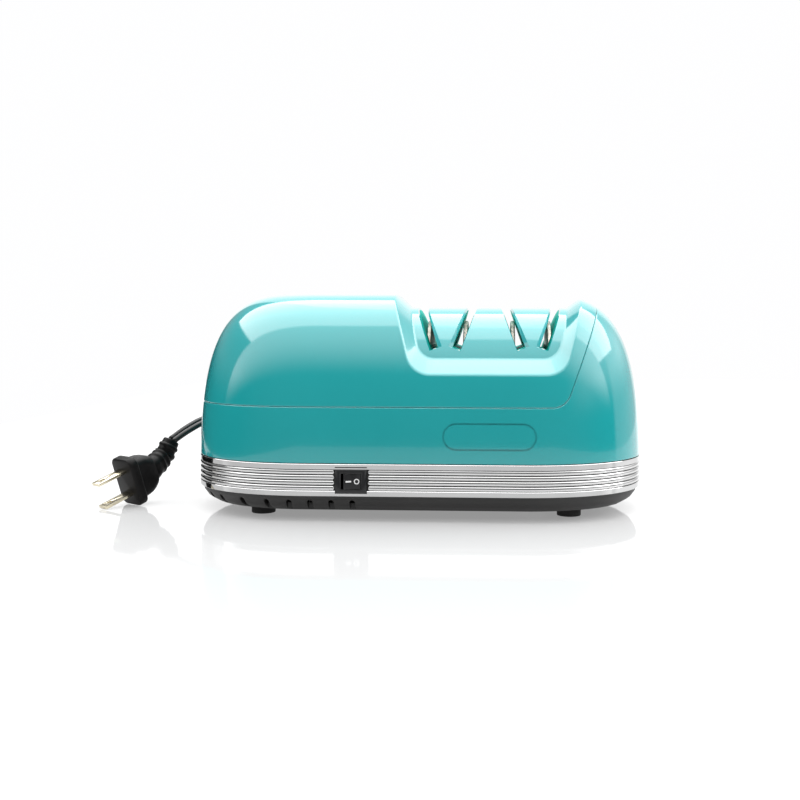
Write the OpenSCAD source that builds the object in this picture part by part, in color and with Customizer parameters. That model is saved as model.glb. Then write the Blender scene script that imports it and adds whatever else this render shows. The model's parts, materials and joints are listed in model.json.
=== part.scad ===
// Electric two-stage knife sharpener: moulded covers, ribbed trim belt, mains motor,
// one long shaft with four abrasive wheels, rocker switch and mains lead.
// X runs along the machine, the front faces -Y, Z is up, the floor is z = 0.

/* [Body] */
// Overall width at the belt
body_w = 231; // [210:1:250]
// Overall depth at the belt
body_d = 114; // [108:1:130]
// Height of the coloured shell above the belt
shell_h = 82.5; // [78:0.5:95]
// Height of the trim belt
belt_h = 15.5; // [15:0.5:20]
// Height of the base tray below the belt
base_h = 9; // [8:0.5:12]
// Gap under the base tray that the feet leave
foot_gap = 3.5; // [2.5:0.5:6]
// Wall of the moulded shells
wall = 2.5; // [2:0.1:3]
// Height of the parting line above the belt
parting_h = 27.3; // [22:0.1:30]
// X of the corner where the parting line turns upward
parting_x = 73.9; // [70:0.1:80]

/* [Knife guides] */
// X of the middle of the recess
recess_x = 36.75; // [34:0.25:38]
// Depth of the recess under the shell's surface
recess_depth = 6.7; // [6:0.1:8]
// X spacing of the two sharpening stages
stage_spacing = 43; // [41:0.1:44]
// Clear width of a knife slot
slot_w = 4.2; // [3.5:0.1:4.5]
// Lean of a knife slot from upright
slot_tilt = 20; // [18:0.5:22]
// Height of a slot's floor above the floor
slot_floor_z = 83.2; // [82:0.1:86]
// Half distance between the floors of a pair of slots
slot_half_gap = 5.5; // [5:0.1:6.5]

/* [Drive] */
// Height of the shaft above the floor
shaft_z = 75; // [73:0.5:76]
// Shaft diameter
shaft_d = 6; // [5:0.1:7]
// Diameter of the abrasive wheels
wheel_d = 44; // [40:0.5:45]
// Thickness of an abrasive wheel at its rim
wheel_t = 2.2; // [1.5:0.1:2.6]
// Half distance between the two wheels of a stage
wheel_half_gap = 9.3; // [8.8:0.1:10]
// Outside diameter of the shaft bushes
bush_d = 11; // [10:0.5:12]
// Outside diameter of the cooling fan
fan_d = 44; // [36:1:46]
// Rotor diameter
rotor_d = 32; // [28:0.5:34]
// Length of the lamination stack
stack_l = 30; // [24:1:32]

/* [Switch and lead] */
// Width of the switch bezel
bezel_w = 15.2; // [14.5:0.1:16]
// Height of the switch bezel
bezel_h = 11.5; // [11:0.1:12]
// X of the switch
switch_x = -29; // [-34:0.5:-24]
// Swing of the rocker between off and on
rocker_swing = 20; // [16:1:22]
// Width of the flat mains cord
cord_w = 6; // [5.5:0.1:6.4]
// X of the cord's exit at the back
exit_x = -28; // [-30:0.5:-26]
// Height of the cord's exit
exit_z = 41; // [39:0.5:43]

/* [Feet] */
// Diameter of a rubber foot
foot_d = 12; // [10:0.5:14]
// X of the feet either side of the middle
foot_x = 77; // [70:0.5:80]
// Y of the feet either side of the middle
foot_y = 31; // [26:0.5:31]

/* [Hidden] */

teal = [0.22, 0.63, 0.65];
dark = [0.14, 0.14, 0.145];
chrome = [0.80, 0.81, 0.82];
steel = [0.66, 0.67, 0.69];
copper = [0.72, 0.42, 0.24];
brass = [0.78, 0.68, 0.42];

fit = 0.3;                                 // gap between loose neighbours
running = 0.05;                            // radial gap between shaft and bush
ring_n = 48;                               // points round a loft
half_w = body_w / 2;
half_d = body_d / 2;
straight = 50;                             // half length of the straight front
corner_power = 2.2;                        // squareness of the rounded ends
base_z = foot_gap;
belt_z = base_z + base_h;
shell_z = belt_z + belt_h;
crown_z = shell_z + shell_h;
parting_z = shell_z + parting_h;

// ---- shapes shared by the moulded parts ----
function spow(v, e) = sign(v) * pow(abs(v), e);
function outline(a, b, s = straight) = [
    for (i = [0:ring_n - 1])
        let (t = 360 * i / ring_n, c = cos(t), q = sin(t))
        [sign(c) * (s + (a - s) * pow(abs(c), 2 / corner_power)), b * spow(q, 2 / corner_power)]
];
function bez(p, t) =
    pow(1 - t, 3) * p[0] + 3 * t * pow(1 - t, 2) * p[1] + 3 * t * t * (1 - t) * p[2] + t * t * t * p[3];
function loft_faces(m, k) = concat(
    [[for (i = [0:k - 1]) i]],
    [for (j = [0:m - 2], i = [0:k - 1]) [j * k + i, (j + 1) * k + i, (j + 1) * k + (i + 1) % k]],
    [for (j = [0:m - 2], i = [0:k - 1]) [j * k + i, (j + 1) * k + (i + 1) % k, j * k + (i + 1) % k]],
    [[for (i = [k - 1:-1:0]) (m - 1) * k + i]]
);

// rings are [half width, half depth, z]
module loft(rings) {
    points = [for (r = rings, p = outline(r[0], r[1])) [p[0], p[1], r[2]]];
    polyhedron(points, loft_faces(len(rings), ring_n));
}

dome_steps = 10;
dome_a = [half_w, half_w - 1.5, half_w - 7.5, half_w - 45.5];
dome_b = [half_d, half_d - 1, half_d - 10, half_d - 47];
dome_rise = [0, 0.57, 1, 1];

// one ring of the shell's outer form, t from belt to crown, moved inward by inset,
// and at its ends by inset times ends
function dome_ring(t, inset, ends) = [
    bez(dome_a, t) - inset * ends,
    max(0.5, bez(dome_b, t) - inset),
    shell_z + shell_h * bez(dome_rise, t) - inset * t
];
module dome(inset = 0, drop = 0, ends = 1) {
    loft(concat(
        drop > 0 ? [[half_w - inset, half_d - inset, shell_z - drop]] : [],
        [for (i = [0:dome_steps]) dome_ring(i / dome_steps, inset, ends)]
    ));
}

module along_y(l = body_d * 2) {
    rotate([90, 0, 0])
        translate([0, 0, -l / 2])
            linear_extrude(l)
                children();
}

// region above the parting line, seen from the front
parting_lean = 20.9;
parting_r = 9;
module above_parting() {
    turn = 90 - parting_lean;
    setback = parting_r * tan(turn / 2);
    arc = [for (i = [0:6]) let (w = turn * i / 6)
        [parting_x - setback + parting_r * sin(w), parting_z + parting_r * (1 - cos(w))]];
    top = crown_z + 10 - parting_z;
    along_y()
        polygon(concat([[-body_w, parting_z]], arc,
            [[parting_x + top * tan(parting_lean), parting_z + top], [-body_w, parting_z + top]]));
}

// recess outline at a step from its outer rim (0) to its inner rim (1), grown by g
recess_side = 15;                          // lean of the recess's ends
recess_half = 26.7;                        // half length of the recess's straight bottom
recess_rim_z = 71;                         // outer rim at the front
recess_floor_z = 78.2;                     // inner rim at the front
recess_r = 9;
module recess_outline(step, g = 0) {
    zb = recess_rim_z + (recess_floor_z - recess_rim_z) * step - g;
    hb = recess_half + (1 - step) * 1.5;
    turn = 90 - recess_side;
    out = recess_r + (1 - step) * 3 + g;
    rise = crown_z + 10 - zb;
    right = concat(
        [for (i = [0:5]) let (w = turn * i / 5) [hb + out * sin(w), zb + out * (1 - cos(w))]],
        [[hb + out * sin(turn) + (rise - out * (1 - cos(turn))) * tan(recess_side), zb + rise]]
    );
    along_y()
        translate([recess_x, 0])
            polygon(concat(right, [for (i = [len(right) - 1:-1:0]) [-right[i][0], right[i][1]]]));
}

block_floor_z = slot_floor_z - 3.5;        // underside of the guide block
block_ends = -0.8;                         // keeps the guide block's top level to its ends
module shell_outside() {
    difference() {
        dome();
        recess_outline(0);
    }
    for (step = [0.5, 1])
        intersection() {
            dome(recess_depth * step, 0, block_ends);
            difference() {
                recess_outline(step - 0.5, 0.2);
                if (step < 1)
                    recess_outline(step);
            }
        }
}
module shell_inside() {
    difference() {
        dome(wall, 1);
        recess_outline(0, wall);
    }
    intersection() {
        dome(recess_depth + wall, 1);
        recess_outline(0, wall + 0.2);
        translate([-body_w, -body_d, 0])
            cube([body_w * 2, body_d * 2, block_floor_z]);
    }
}

stage_x = [recess_x - stage_spacing / 2, recess_x + stage_spacing / 2];
slot_run = 160;
module knife_slots(extra = 0) {
    for (x = stage_x, side = [-1, 1])
        translate([x + side * slot_half_gap, 0, slot_floor_z])
            rotate([0, side * slot_tilt, 0])
                translate([-slot_w / 2 - extra, -slot_run / 2, -extra])
                    cube([slot_w + 2 * extra, slot_run, 40]);
}

// hollows under the guide block, between the slots
block_wall = 2.2;
module block_hollows() {
    for (x = stage_x)
        along_y(50)
            polygon([
                [x - 3.2, block_floor_z - 1], [x + 3.2, block_floor_z - 1],
                [x + 7, 98], [x - 7, 98]
            ]);
    along_y(50)
        polygon([
            [recess_x - 11, block_floor_z - 1], [recess_x + 11, block_floor_z - 1],
            [recess_x + 5.5, 98], [recess_x - 5.5, 98]
        ]);
}

wheel_x = [for (x = stage_x, side = [-1, 1]) x + side * wheel_half_gap];
hub_run = 90;                              // length of the groove that clears the hubs
module wheel_pockets() {
    for (x = wheel_x)
        translate([x - wheel_t / 2 - 0.8, 0, shaft_z])
            rotate([0, 90, 0])
                cylinder(d = wheel_d + 2, h = wheel_t + 1.6, $fn = 64);
    translate([recess_x - hub_run / 2, 0, shaft_z])
        rotate([0, 90, 0])
            cylinder(d = hub_d + 2, h = hub_run, $fn = 48);
}

pillar_d = 8;
pillar_hole = 2.6;
pillars = [[-88, -33], [-88, 33], [62, -40], [62, 40]];
end_pillars = [[98, -22], [98, 22]];
end_pillar_top = 50;
pillar_top = 80;
tray_floor = 2.5;
pillar_foot_z = base_z + tray_floor + 5;
module pillar_posts() {
    intersection() {
        for (p = pillars) {
            translate([p[0], p[1], pillar_foot_z])
                cylinder(d = pillar_d, h = pillar_top - pillar_foot_z, $fn = 32);
            translate([p[0] - 1.2, p[1] > 0 ? p[1] : p[1] - 22, parting_z + 1])
                cube([2.4, 22, pillar_top - parting_z - 1]);
        }
        dome(0.8, 30);
        recess_outline_keep();
    }
}
module recess_outline_keep() {
    difference() {
        translate([-body_w, -body_d, 0])
            cube([body_w * 2, body_d * 2, crown_z]);
        difference() {
            recess_outline(0, 0.5);
            dome(recess_depth + 0.8, 30);
        }
    }
}
module end_pillar_posts() {
    intersection() {
        for (p = end_pillars) {
            translate([p[0], p[1], pillar_foot_z])
                cylinder(d = pillar_d, h = end_pillar_top - pillar_foot_z, $fn = 32);
            translate([p[0], p[1] - 1.2, shell_z + 1])
                cube([20, 2.4, end_pillar_top - shell_z - 1]);
        }
        dome(0.8, 30);
    }
}
module pillar_holes(at = pillars) {
    for (p = at)
        translate([p[0], p[1], pillar_foot_z - 1])
            cylinder(d = pillar_hole, h = 21, $fn = 24);
}

// ---- moulded parts ----
module upper_cover() {
    color(teal)
        difference() {
            union() {
                intersection() {
                    difference() {
                        shell_outside();
                        shell_inside();
                    }
                    above_parting();
                }
                pillar_posts();
            }
            knife_slots();
            wheel_pockets();
            block_hollows();
            pillar_holes();
        }
}

module racetrack(half, r) {
    square([2 * half, 2 * r], center = true);
    for (s = [-1, 1])
        translate([s * half, 0])
            circle(r = r, $fn = 48);
}
module badge_groove() {
    badge_x = 37.4;
    badge_z = 41.5;
    badge_half = 16;
    translate([badge_x, -half_d + 0.4, badge_z])
        rotate([90, 0, 0])
            linear_extrude(5)
                difference() {
                    racetrack(badge_half, 6.6);
                    racetrack(badge_half, 5.8);
                }
}

exit_hole_d = 9;
module lower_housing() {
    color(teal)
        difference() {
            union() {
                intersection() {
                    difference() {
                        dome();
                        dome(wall, 1);
                    }
                    difference() {
                        translate([-body_w, -body_d, shell_z])
                            cube([body_w * 2, body_d * 2, shell_h + 5]);
                        above_parting();
                    }
                }
                end_pillar_posts();
            }
            pillar_holes(end_pillars);
            badge_groove();
            translate([exit_x, half_d - 12, exit_z])
                rotate([-90, 0, 0])
                    cylinder(d = exit_hole_d, h = 20, $fn = 40);
        }
}

rib_n = 4;
belt_t = 1.6;
flat_h = 2.6;
rib_pitch = (belt_h - 2 * flat_h) / rib_n;
rib_depth = 0.7;
function rib_rings(z0) = [for (i = [0:3]) let (w = 180 * i / 4)
    [half_w - rib_depth + rib_depth * sin(w), half_d - rib_depth + rib_depth * sin(w),
        z0 + 0.15 + (rib_pitch - 0.3) * i / 4]];
module trim_belt() {
    outer = concat(
        [[half_w, half_d, belt_z], [half_w, half_d, belt_z + flat_h - 0.15]],
        [for (k = [0:rib_n - 1], r = rib_rings(belt_z + flat_h + k * rib_pitch)) r],
        [[half_w - rib_depth, half_d - rib_depth, shell_z - flat_h],
            [half_w, half_d, shell_z - flat_h + 0.3], [half_w, half_d, shell_z]]
    );
    color(chrome)
        difference() {
            loft(outer);
            loft([[half_w - belt_t, half_d - belt_t, belt_z - 1],
                [half_w - belt_t, half_d - belt_t, shell_z + 1]]);
            translate([switch_x - bezel_w / 2 - fit / 2, -half_d - 3, switch_z - bezel_h / 2 - fit / 2])
                cube([bezel_w + fit, 10, bezel_h + fit]);
        }
}

switch_z = belt_z + 7.2;
tray_wall = 2;
vent_w = 2.8;
vent_pitch = 10.3;
vent_h = 6.8;
vent_reach = 8;                            // how far a vent cuts inward
vent_turns = [0.333, 0.539, 0.734, 0.847]; // shares of the bend, for the vents round the left end
vents = concat([for (i = [0:3]) [-28.8 - i * vent_pitch, 0]],
    [for (share = vent_turns) [-straight - share * (half_w - straight), share]]);
module base_vents() {
    for (side = [-1, 1], vent = vents) {
        y = half_d * pow(1 - pow(vent[1], corner_power), 1 / corner_power);
        translate([vent[0], side * y, base_z - 1])
            rotate([0, 0, side * vent[1] * 45])
                translate([0, side > 0 ? -vent_reach : -3, 0]) {
                    translate([-vent_w / 2, 0, 0])
                        cube([vent_w, vent_reach + 3, vent_h - vent_w / 2 + 1]);
                    translate([0, 0, vent_h - vent_w / 2 + 1])
                        rotate([-90, 0, 0])
                            cylinder(d = vent_w, h = vent_reach + 3, $fn = 24);
                }
    }
}
module base_tray() {
    lip = 1.2;
    under = belt_t + fit;
    color(dark)
        difference() {
            union() {
                difference() {
                    loft([
                        [half_w - 14, half_d - 14, base_z], [half_w - 8.5, half_d - 8.5, base_z + 1],
                        [half_w - 4.2, half_d - 4.2, base_z + 3.6], [half_w - 2, half_d - 2, base_z + 6.6],
                        [half_w - lip, half_d - lip, belt_z]
                    ]);
                    loft([
                        [half_w - 16, half_d - 16, base_z + tray_floor],
                        [half_w - 10, half_d - 10, base_z + tray_floor + 0.8],
                        [half_w - 6, half_d - 6, base_z + 5.5],
                        [half_w - under - tray_wall, half_d - under - tray_wall, belt_z + 1]
                    ]);
                }
                difference() {
                    loft([[half_w - under, half_d - under, belt_z - 0.6],
                        [half_w - under, half_d - under, shell_z]]);
                    loft([[half_w - under - tray_wall, half_d - under - tray_wall, belt_z - 2],
                        [half_w - under - tray_wall, half_d - under - tray_wall, shell_z + 1]]);
                }
                for (p = concat(pillars, end_pillars))
                    translate([p[0], p[1], base_z + 1])
                        cylinder(d = pillar_d, h = pillar_foot_z - base_z - 1, $fn = 32);
                for (p = cradle_feet)
                    translate([p[0], p[1], base_z + 1])
                        cylinder(d = 8, h = cradle_z - base_z - 1, $fn = 32);
                for (y = pedestal_feet)
                    translate([pedestal_x, y, base_z + 1])
                        cylinder(d = 8, h = pedestal_z - base_z - 1, $fn = 32);
                translate([partition_x - 3, -rail_half, base_z + 1])
                    cube([2.6, 2 * rail_half, 10]);
                translate([partition_x + partition_t + 0.4, -rail_half, base_z + 1])
                    cube([2.6, 2 * rail_half, 10]);
            }
            for (p = concat(pillars, end_pillars))
                translate([p[0], p[1], base_z - 1]) {
                    cylinder(d = screw_d + 0.6, h = 20, $fn = 24);
                    cylinder(d = screw_head_d + 1, h = screw_sink + 1, $fn = 32);
                }
            for (p = cradle_feet)
                translate([p[0], p[1], base_z + tray_floor])
                    cylinder(d = pillar_hole, h = 20, $fn = 24);
            for (y = pedestal_feet)
                translate([pedestal_x, y, base_z + tray_floor])
                    cylinder(d = pillar_hole, h = 20, $fn = 24);
            for (sx = [-1, 1], sy = [-1, 1])
                translate([sx * foot_x, sy * foot_y, base_z - 1])
                    cylinder(d = foot_peg_d + 0.1, h = 10, $fn = 32);
            base_vents();
            translate([switch_x - switch_box_w / 2 - fit, -half_d, switch_z - switch_box_h / 2 - fit])
                cube([switch_box_w + 2 * fit, 10, switch_box_h + 2 * fit]);
        }
}

foot_peg_d = 5;
module rubber_feet() {
    color([0.1, 0.1, 0.1])
        for (sx = [-1, 1], sy = [-1, 1])
            translate([sx * foot_x, sy * foot_y, 0]) {
                cylinder(d = foot_d, h = foot_gap, $fn = 48);
                cylinder(d = foot_peg_d, h = foot_gap + tray_floor, $fn = 32);
                translate([0, 0, foot_gap + tray_floor])
                    cylinder(d = foot_peg_d + 1.6, h = 1.2, $fn = 32);
            }
}

screw_d = 3;
screw_head_d = 6;
screw_sink = 3;
module base_screws() {
    color(steel)
        for (p = concat(pillars, end_pillars))
            translate([p[0], p[1], base_z + screw_sink])
                machine_screw(16);
}

// a pan head below z = 0 and a shank of length l above it
module machine_screw(l, d = pillar_hole, head = screw_head_d) {
    difference() {
        union() {
            translate([0, 0, -2])
                cylinder(d = head, h = 2, $fn = 32);
            cylinder(d = d, h = l, $fn = 24);
        }
        for (w = [0, 90])
            rotate([0, 0, w])
                translate([-1.8, -0.4, -3])
                    cube([3.6, 0.8, 2]);
    }
}

// ---- switch ----
switch_box_w = 13;
switch_box_h = 8.6;
switch_face_y = -half_d - 0.3;
switch_back_y = -half_d + 14;
rocker_w = 9.1;
rocker_h = 7.5;
rocker_y = -half_d + 2.8;
module switch_body() {
    color(dark)
        difference() {
            union() {
                translate([switch_x - bezel_w / 2, switch_face_y, switch_z - bezel_h / 2])
                    cube([bezel_w, 2, bezel_h]);
                translate([switch_x - switch_box_w / 2, switch_face_y + 1, switch_z - switch_box_h / 2])
                    cube([switch_box_w, switch_back_y - switch_face_y - 1, switch_box_h]);
            }
            translate([switch_x - rocker_w / 2 - fit, switch_face_y - 1, switch_z - rocker_h / 2 - 0.1])
                cube([rocker_w + 2 * fit, 10.5, rocker_h + 0.2]);
            translate([switch_x, rocker_y, switch_z - 10])
                cylinder(d = 2.1, h = 20, $fn = 24);
        }
}

// drawn at rest: the off side is pressed in
module switch_rocker() {
    slope = rocker_swing / 2;
    hw = rocker_w / 2 - 0.45;
    mid = 2.6;
    edge = mid + hw * tan(slope);
    color([0.08, 0.08, 0.085])
        translate([switch_x, rocker_y, switch_z])
            rotate([0, 0, slope])
                union() {
                    translate([0, 0, -rocker_h / 2])
                        linear_extrude(rocker_h)
                            polygon([[-hw, -edge], [0, -mid], [hw, -edge], [hw - 0.9, 0.3], [1.6, 3.2],
                                [-1.6, 3.2], [-hw + 0.9, 0.3]]);
                    translate([0, 0, -switch_box_h / 2 + 0.1])
                        cylinder(d = 2, h = switch_box_h - 0.2, $fn = 24);
                }
}

module switch_terminals() {
    color(brass)
        for (s = [-1, 1])
            difference() {
                translate([switch_x + s * 3.5 - 0.4, switch_back_y, switch_z - 2.4])
                    cube([0.8, 7, 4.8]);
                translate([switch_x + s * 3.5 - 2, switch_back_y + 4.8, switch_z])
                    rotate([0, 90, 0])
                        cylinder(d = 1.6, h = 4, $fn = 24);
            }
}

// ---- motor ----
stack_x = -68;
stack_half = 32;
stack_top = shaft_z + 24;
stack_low = 28;
window_low = 38;
window_top = 50;
leg_half = 20;
tie_y = 26;
tie_d = 4;
rotor_gap = 0.4;
module stator_core() {
    color(steel)
        difference() {
            translate([stack_x, -stack_half, stack_low])
                cube([stack_l, 2 * stack_half, stack_top - stack_low]);
            translate([stack_x - 1, -leg_half, window_low])
                cube([stack_l + 2, 2 * leg_half, window_top - window_low]);
            translate([stack_x - 1, 0, shaft_z])
                rotate([0, 90, 0])
                    cylinder(d = rotor_d + 2 * rotor_gap, h = stack_l + 2, $fn = 64);
            for (s = [-1, 1])
                translate([stack_x - 1, s * tie_y, shaft_z])
                    rotate([0, 90, 0])
                        cylinder(d = tie_d + 0.4, h = stack_l + 2, $fn = 24);
        }
}

// the coil is wound round the lower bar of the core, along Y
bobbin_gap = 0.2;
coil_build = 6;
bobbin_half = leg_half - 0.4;
module coil_box(grow, l) {
    translate([stack_x - grow, -l / 2, stack_low - grow])
        cube([stack_l + 2 * grow, l, window_low - stack_low + 2 * grow]);
}
module coil_bobbin() {
    color([0.9, 0.9, 0.86])
        difference() {
            union() {
                coil_box(1.4, 2 * bobbin_half);
                for (s = [-1, 1])
                    translate([0, s * (bobbin_half - 0.8), 0])
                        coil_box(coil_build + 2, 1.6);
            }
            coil_box(bobbin_gap, body_d);
        }
}
module coil_winding() {
    color(copper)
        difference() {
            coil_box(1.4 + coil_build, 2 * bobbin_half - 3.4);
            coil_box(1.45, body_d);
        }
}

bracket_t = 3;
boss_d = 18;
module end_bracket(x, outward) {
    difference() {
        union() {
            translate([x, -tie_y - 5, shaft_z - 6])
                cube([bracket_t, 2 * tie_y + 10, 12]);
            translate([outward > 0 ? x : x + bracket_t - 9, 0, shaft_z])
                rotate([0, 90, 0])
                    cylinder(d = boss_d, h = 9, $fn = 48);
        }
        translate([x - 10, 0, shaft_z])
            rotate([0, 90, 0])
                cylinder(d = bush_d, h = 25, $fn = 48);
        for (s = [-1, 1])
            translate([x - 1, s * tie_y, shaft_z])
                rotate([0, 90, 0])
                    cylinder(d = tie_d + 0.4, h = bracket_t + 2, $fn = 24);
    }
}
rear_x = stack_x - bracket_t;
front_x = stack_x + stack_l;
module rear_bracket() {
    color([0.72, 0.73, 0.75])
        end_bracket(rear_x, -1);
}
module front_bracket() {
    color([0.72, 0.73, 0.75])
        end_bracket(front_x, 1);
}

module motor_bolts() {
    color(steel)
        for (s = [-1, 1])
            translate([rear_x, s * tie_y, shaft_z])
                rotate([0, 90, 0]) {
                    cylinder(d = tie_d, h = stack_l + 2 * bracket_t + 4, $fn = 24);
                    translate([0, 0, -2.5])
                        cylinder(d = 7, h = 2.5, $fn = 6);
                    translate([0, 0, stack_l + 2 * bracket_t])
                        difference() {
                            cylinder(d = 7, h = 3, $fn = 6);
                            cylinder(d = tie_d, h = 3, $fn = 24);
                        }
                }
}

// sheet steel cradle under the core, one ear up each side
cradle_t = 2;
cradle_z = 14;
cradle_feet = [for (x = [stack_x + 5, stack_x + stack_l - 5], y = [-38, 38]) [x, y]];
module cradle_section() {
    ear = stack_half;
    translate([stack_x, 0, 0])
        rotate([90, 0, 90])
            linear_extrude(stack_l)
                for (s = [-1, 1])
                    mirror([s < 0 ? 1 : 0, 0])
                        polygon([[ear, cradle_z], [43, cradle_z], [43, cradle_z + cradle_t],
                            [ear + cradle_t, cradle_z + cradle_t], [ear + cradle_t, 46], [ear, 46]]);
}
module motor_cradle() {
    color([0.62, 0.64, 0.66])
        difference() {
            union() {
                cradle_section();
                translate([stack_x, -stack_half - 0.1, cradle_z])
                    cube([stack_l, 2 * stack_half + 0.2, cradle_t]);
            }
            for (p = cradle_feet)
                translate([p[0], p[1], cradle_z - 1])
                    cylinder(d = screw_d + 0.4, h = 5, $fn = 24);
        }
}
module cradle_screws() {
    color(steel)
        for (p = cradle_feet)
            translate([p[0], p[1], cradle_z + cradle_t])
                mirror([0, 0, 1])
                    machine_screw(8, pillar_hole, 5.5);
}

module rotor_core() {
    color([0.7, 0.71, 0.73])
        translate([stack_x, 0, shaft_z])
            rotate([0, 90, 0])
                difference() {
                    union() {
                        translate([0, 0, 2])
                            cylinder(d = rotor_d, h = stack_l - 4, $fn = 64);
                        translate([0, 0, 0.5])
                            cylinder(d = rotor_d - 5, h = stack_l - 1, $fn = 64);
                    }
                    translate([0, 0, -5])
                        cylinder(d = shaft_d, h = stack_l + 10, $fn = 32);
                }
}

shaft_x0 = -99;
shaft_x1 = 97;
module drive_shaft() {
    color(steel)
        translate([shaft_x0, 0, shaft_z])
            rotate([0, 90, 0])
                cylinder(d = shaft_d, h = shaft_x1 - shaft_x0, $fn = 32);
}

fan_x = -95;
fan_blades = 8;
module cooling_fan() {
    color([0.85, 0.85, 0.82])
        translate([fan_x, 0, shaft_z])
            rotate([0, 90, 0])
                difference() {
                    union() {
                        cylinder(d = fan_d, h = 1.6, $fn = 64);
                        cylinder(d = 12, h = 9, $fn = 32);
                        for (i = [0:fan_blades - 1])
                            rotate([0, 0, 360 * i / fan_blades])
                                translate([5, -0.8, 0])
                                    cube([fan_d / 2 - 6, 1.6, 9]);
                    }
                    translate([0, 0, -1])
                        cylinder(d = shaft_d, h = 12, $fn = 32);
                }
}

module bush(x) {
    color(brass)
        translate([x, 0, shaft_z])
            rotate([0, 90, 0])
                difference() {
                    cylinder(d = bush_d, h = 9, $fn = 48);
                    translate([0, 0, -1])
                        cylinder(d = shaft_d + 2 * running, h = 11, $fn = 48);
                }
}
module rear_bush() {
    bush(rear_x + bracket_t - 9);
}
module front_bush() {
    bush(front_x);
}
module end_bush() {
    bush(pedestal_x - 4.5);
}

// bearing post at the far end of the shaft
pedestal_x = 86;
pedestal_z = 12;
pedestal_feet = [-12, 12];
module end_pedestal() {
    color(dark)
        difference() {
            union() {
                translate([pedestal_x - 4.5, -18, pedestal_z])
                    cube([9, 36, 4]);
                translate([pedestal_x - 2.5, -6.5, pedestal_z])
                    cube([5, 13, shaft_z - pedestal_z - 8]);
                translate([pedestal_x - 4.5, 0, shaft_z])
                    rotate([0, 90, 0])
                        cylinder(d = boss_d, h = 9, $fn = 48);
            }
            translate([pedestal_x - 6, 0, shaft_z])
                rotate([0, 90, 0])
                    cylinder(d = bush_d, h = 12, $fn = 48);
            for (y = pedestal_feet)
                translate([pedestal_x, y, pedestal_z - 1])
                    cylinder(d = screw_d + 0.4, h = 6, $fn = 24);
        }
}
module pedestal_screws() {
    color(steel)
        for (y = pedestal_feet)
            translate([pedestal_x, y, pedestal_z + 4])
                mirror([0, 0, 1])
                    machine_screw(9, pillar_hole, 5.5);
}

// ---- abrasive wheels ----
hub_d = 10;
hub_l = 6;
// rim disc with a boss that thickens toward the hub on both sides
module abrasive_wheel(i) {
    t = wheel_t;
    translate([wheel_x[i], 0, shaft_z])
        rotate([0, 90, 0])
            difference() {
                rotate_extrude($fn = 96)
                    polygon([[0, -hub_l / 2], [hub_d / 2, -hub_l / 2], [hub_d / 2, -t / 2],
                        [wheel_d / 2 - 0.4, -t / 2], [wheel_d / 2, -t / 2 + 0.4], [wheel_d / 2, t / 2 - 0.4],
                        [wheel_d / 2 - 0.4, t / 2], [hub_d / 2, t / 2], [hub_d / 2, hub_l / 2], [0, hub_l / 2]]);
                translate([0, 0, -hub_l])
                    cylinder(d = shaft_d, h = 2 * hub_l, $fn = 32);
            }
}
module coarse_wheel_left() {
    color([0.55, 0.48, 0.42])
        abrasive_wheel(0);
}
module coarse_wheel_right() {
    color([0.55, 0.48, 0.42])
        abrasive_wheel(1);
}
module fine_wheel_left() {
    color([0.75, 0.70, 0.64])
        abrasive_wheel(2);
}
module fine_wheel_right() {
    color([0.75, 0.70, 0.64])
        abrasive_wheel(3);
}

// sleeves that space the wheels along the shaft, from the partition to the end bearing
sleeve_d = 9;
collar_x = -12;
module sleeve(x0, x1) {
    translate([x0, 0, shaft_z])
        rotate([0, 90, 0])
            difference() {
                cylinder(d = sleeve_d, h = x1 - x0, $fn = 40);
                translate([0, 0, -1])
                    cylinder(d = shaft_d, h = x1 - x0 + 2, $fn = 32);
            }
}
module spacer_sleeves() {
    color([0.75, 0.75, 0.72]) {
        sleeve(collar_x, wheel_x[0] - hub_l / 2);
        for (i = [0:2])
            sleeve(wheel_x[i] + hub_l / 2, wheel_x[i + 1] - hub_l / 2);
        sleeve(wheel_x[3] + hub_l / 2, pedestal_x - 4.5 - fit);
    }
}
module shaft_nut() {
    color(steel)
        translate([pedestal_x + 4.5 + fit, 0, shaft_z])
            rotate([0, 90, 0])
                difference() {
                    cylinder(d = 10, h = 4, $fn = 6);
                    translate([0, 0, -1])
                        cylinder(d = shaft_d, h = 6, $fn = 32);
                }
}

// plate that keeps filings out of the motor
partition_x = -18;
partition_t = 2;
rail_half = 24;                            // half length of the rails that hold it
module dust_partition() {
    color([0.3, 0.3, 0.31])
        difference() {
            translate([partition_x, -30, base_z + tray_floor])
                cube([partition_t, 60, 92 - base_z - tray_floor]);
            translate([partition_x - 1, 0, shaft_z])
                rotate([0, 90, 0])
                    cylinder(d = shaft_d + 4, h = 5, $fn = 40);
        }
}

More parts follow.
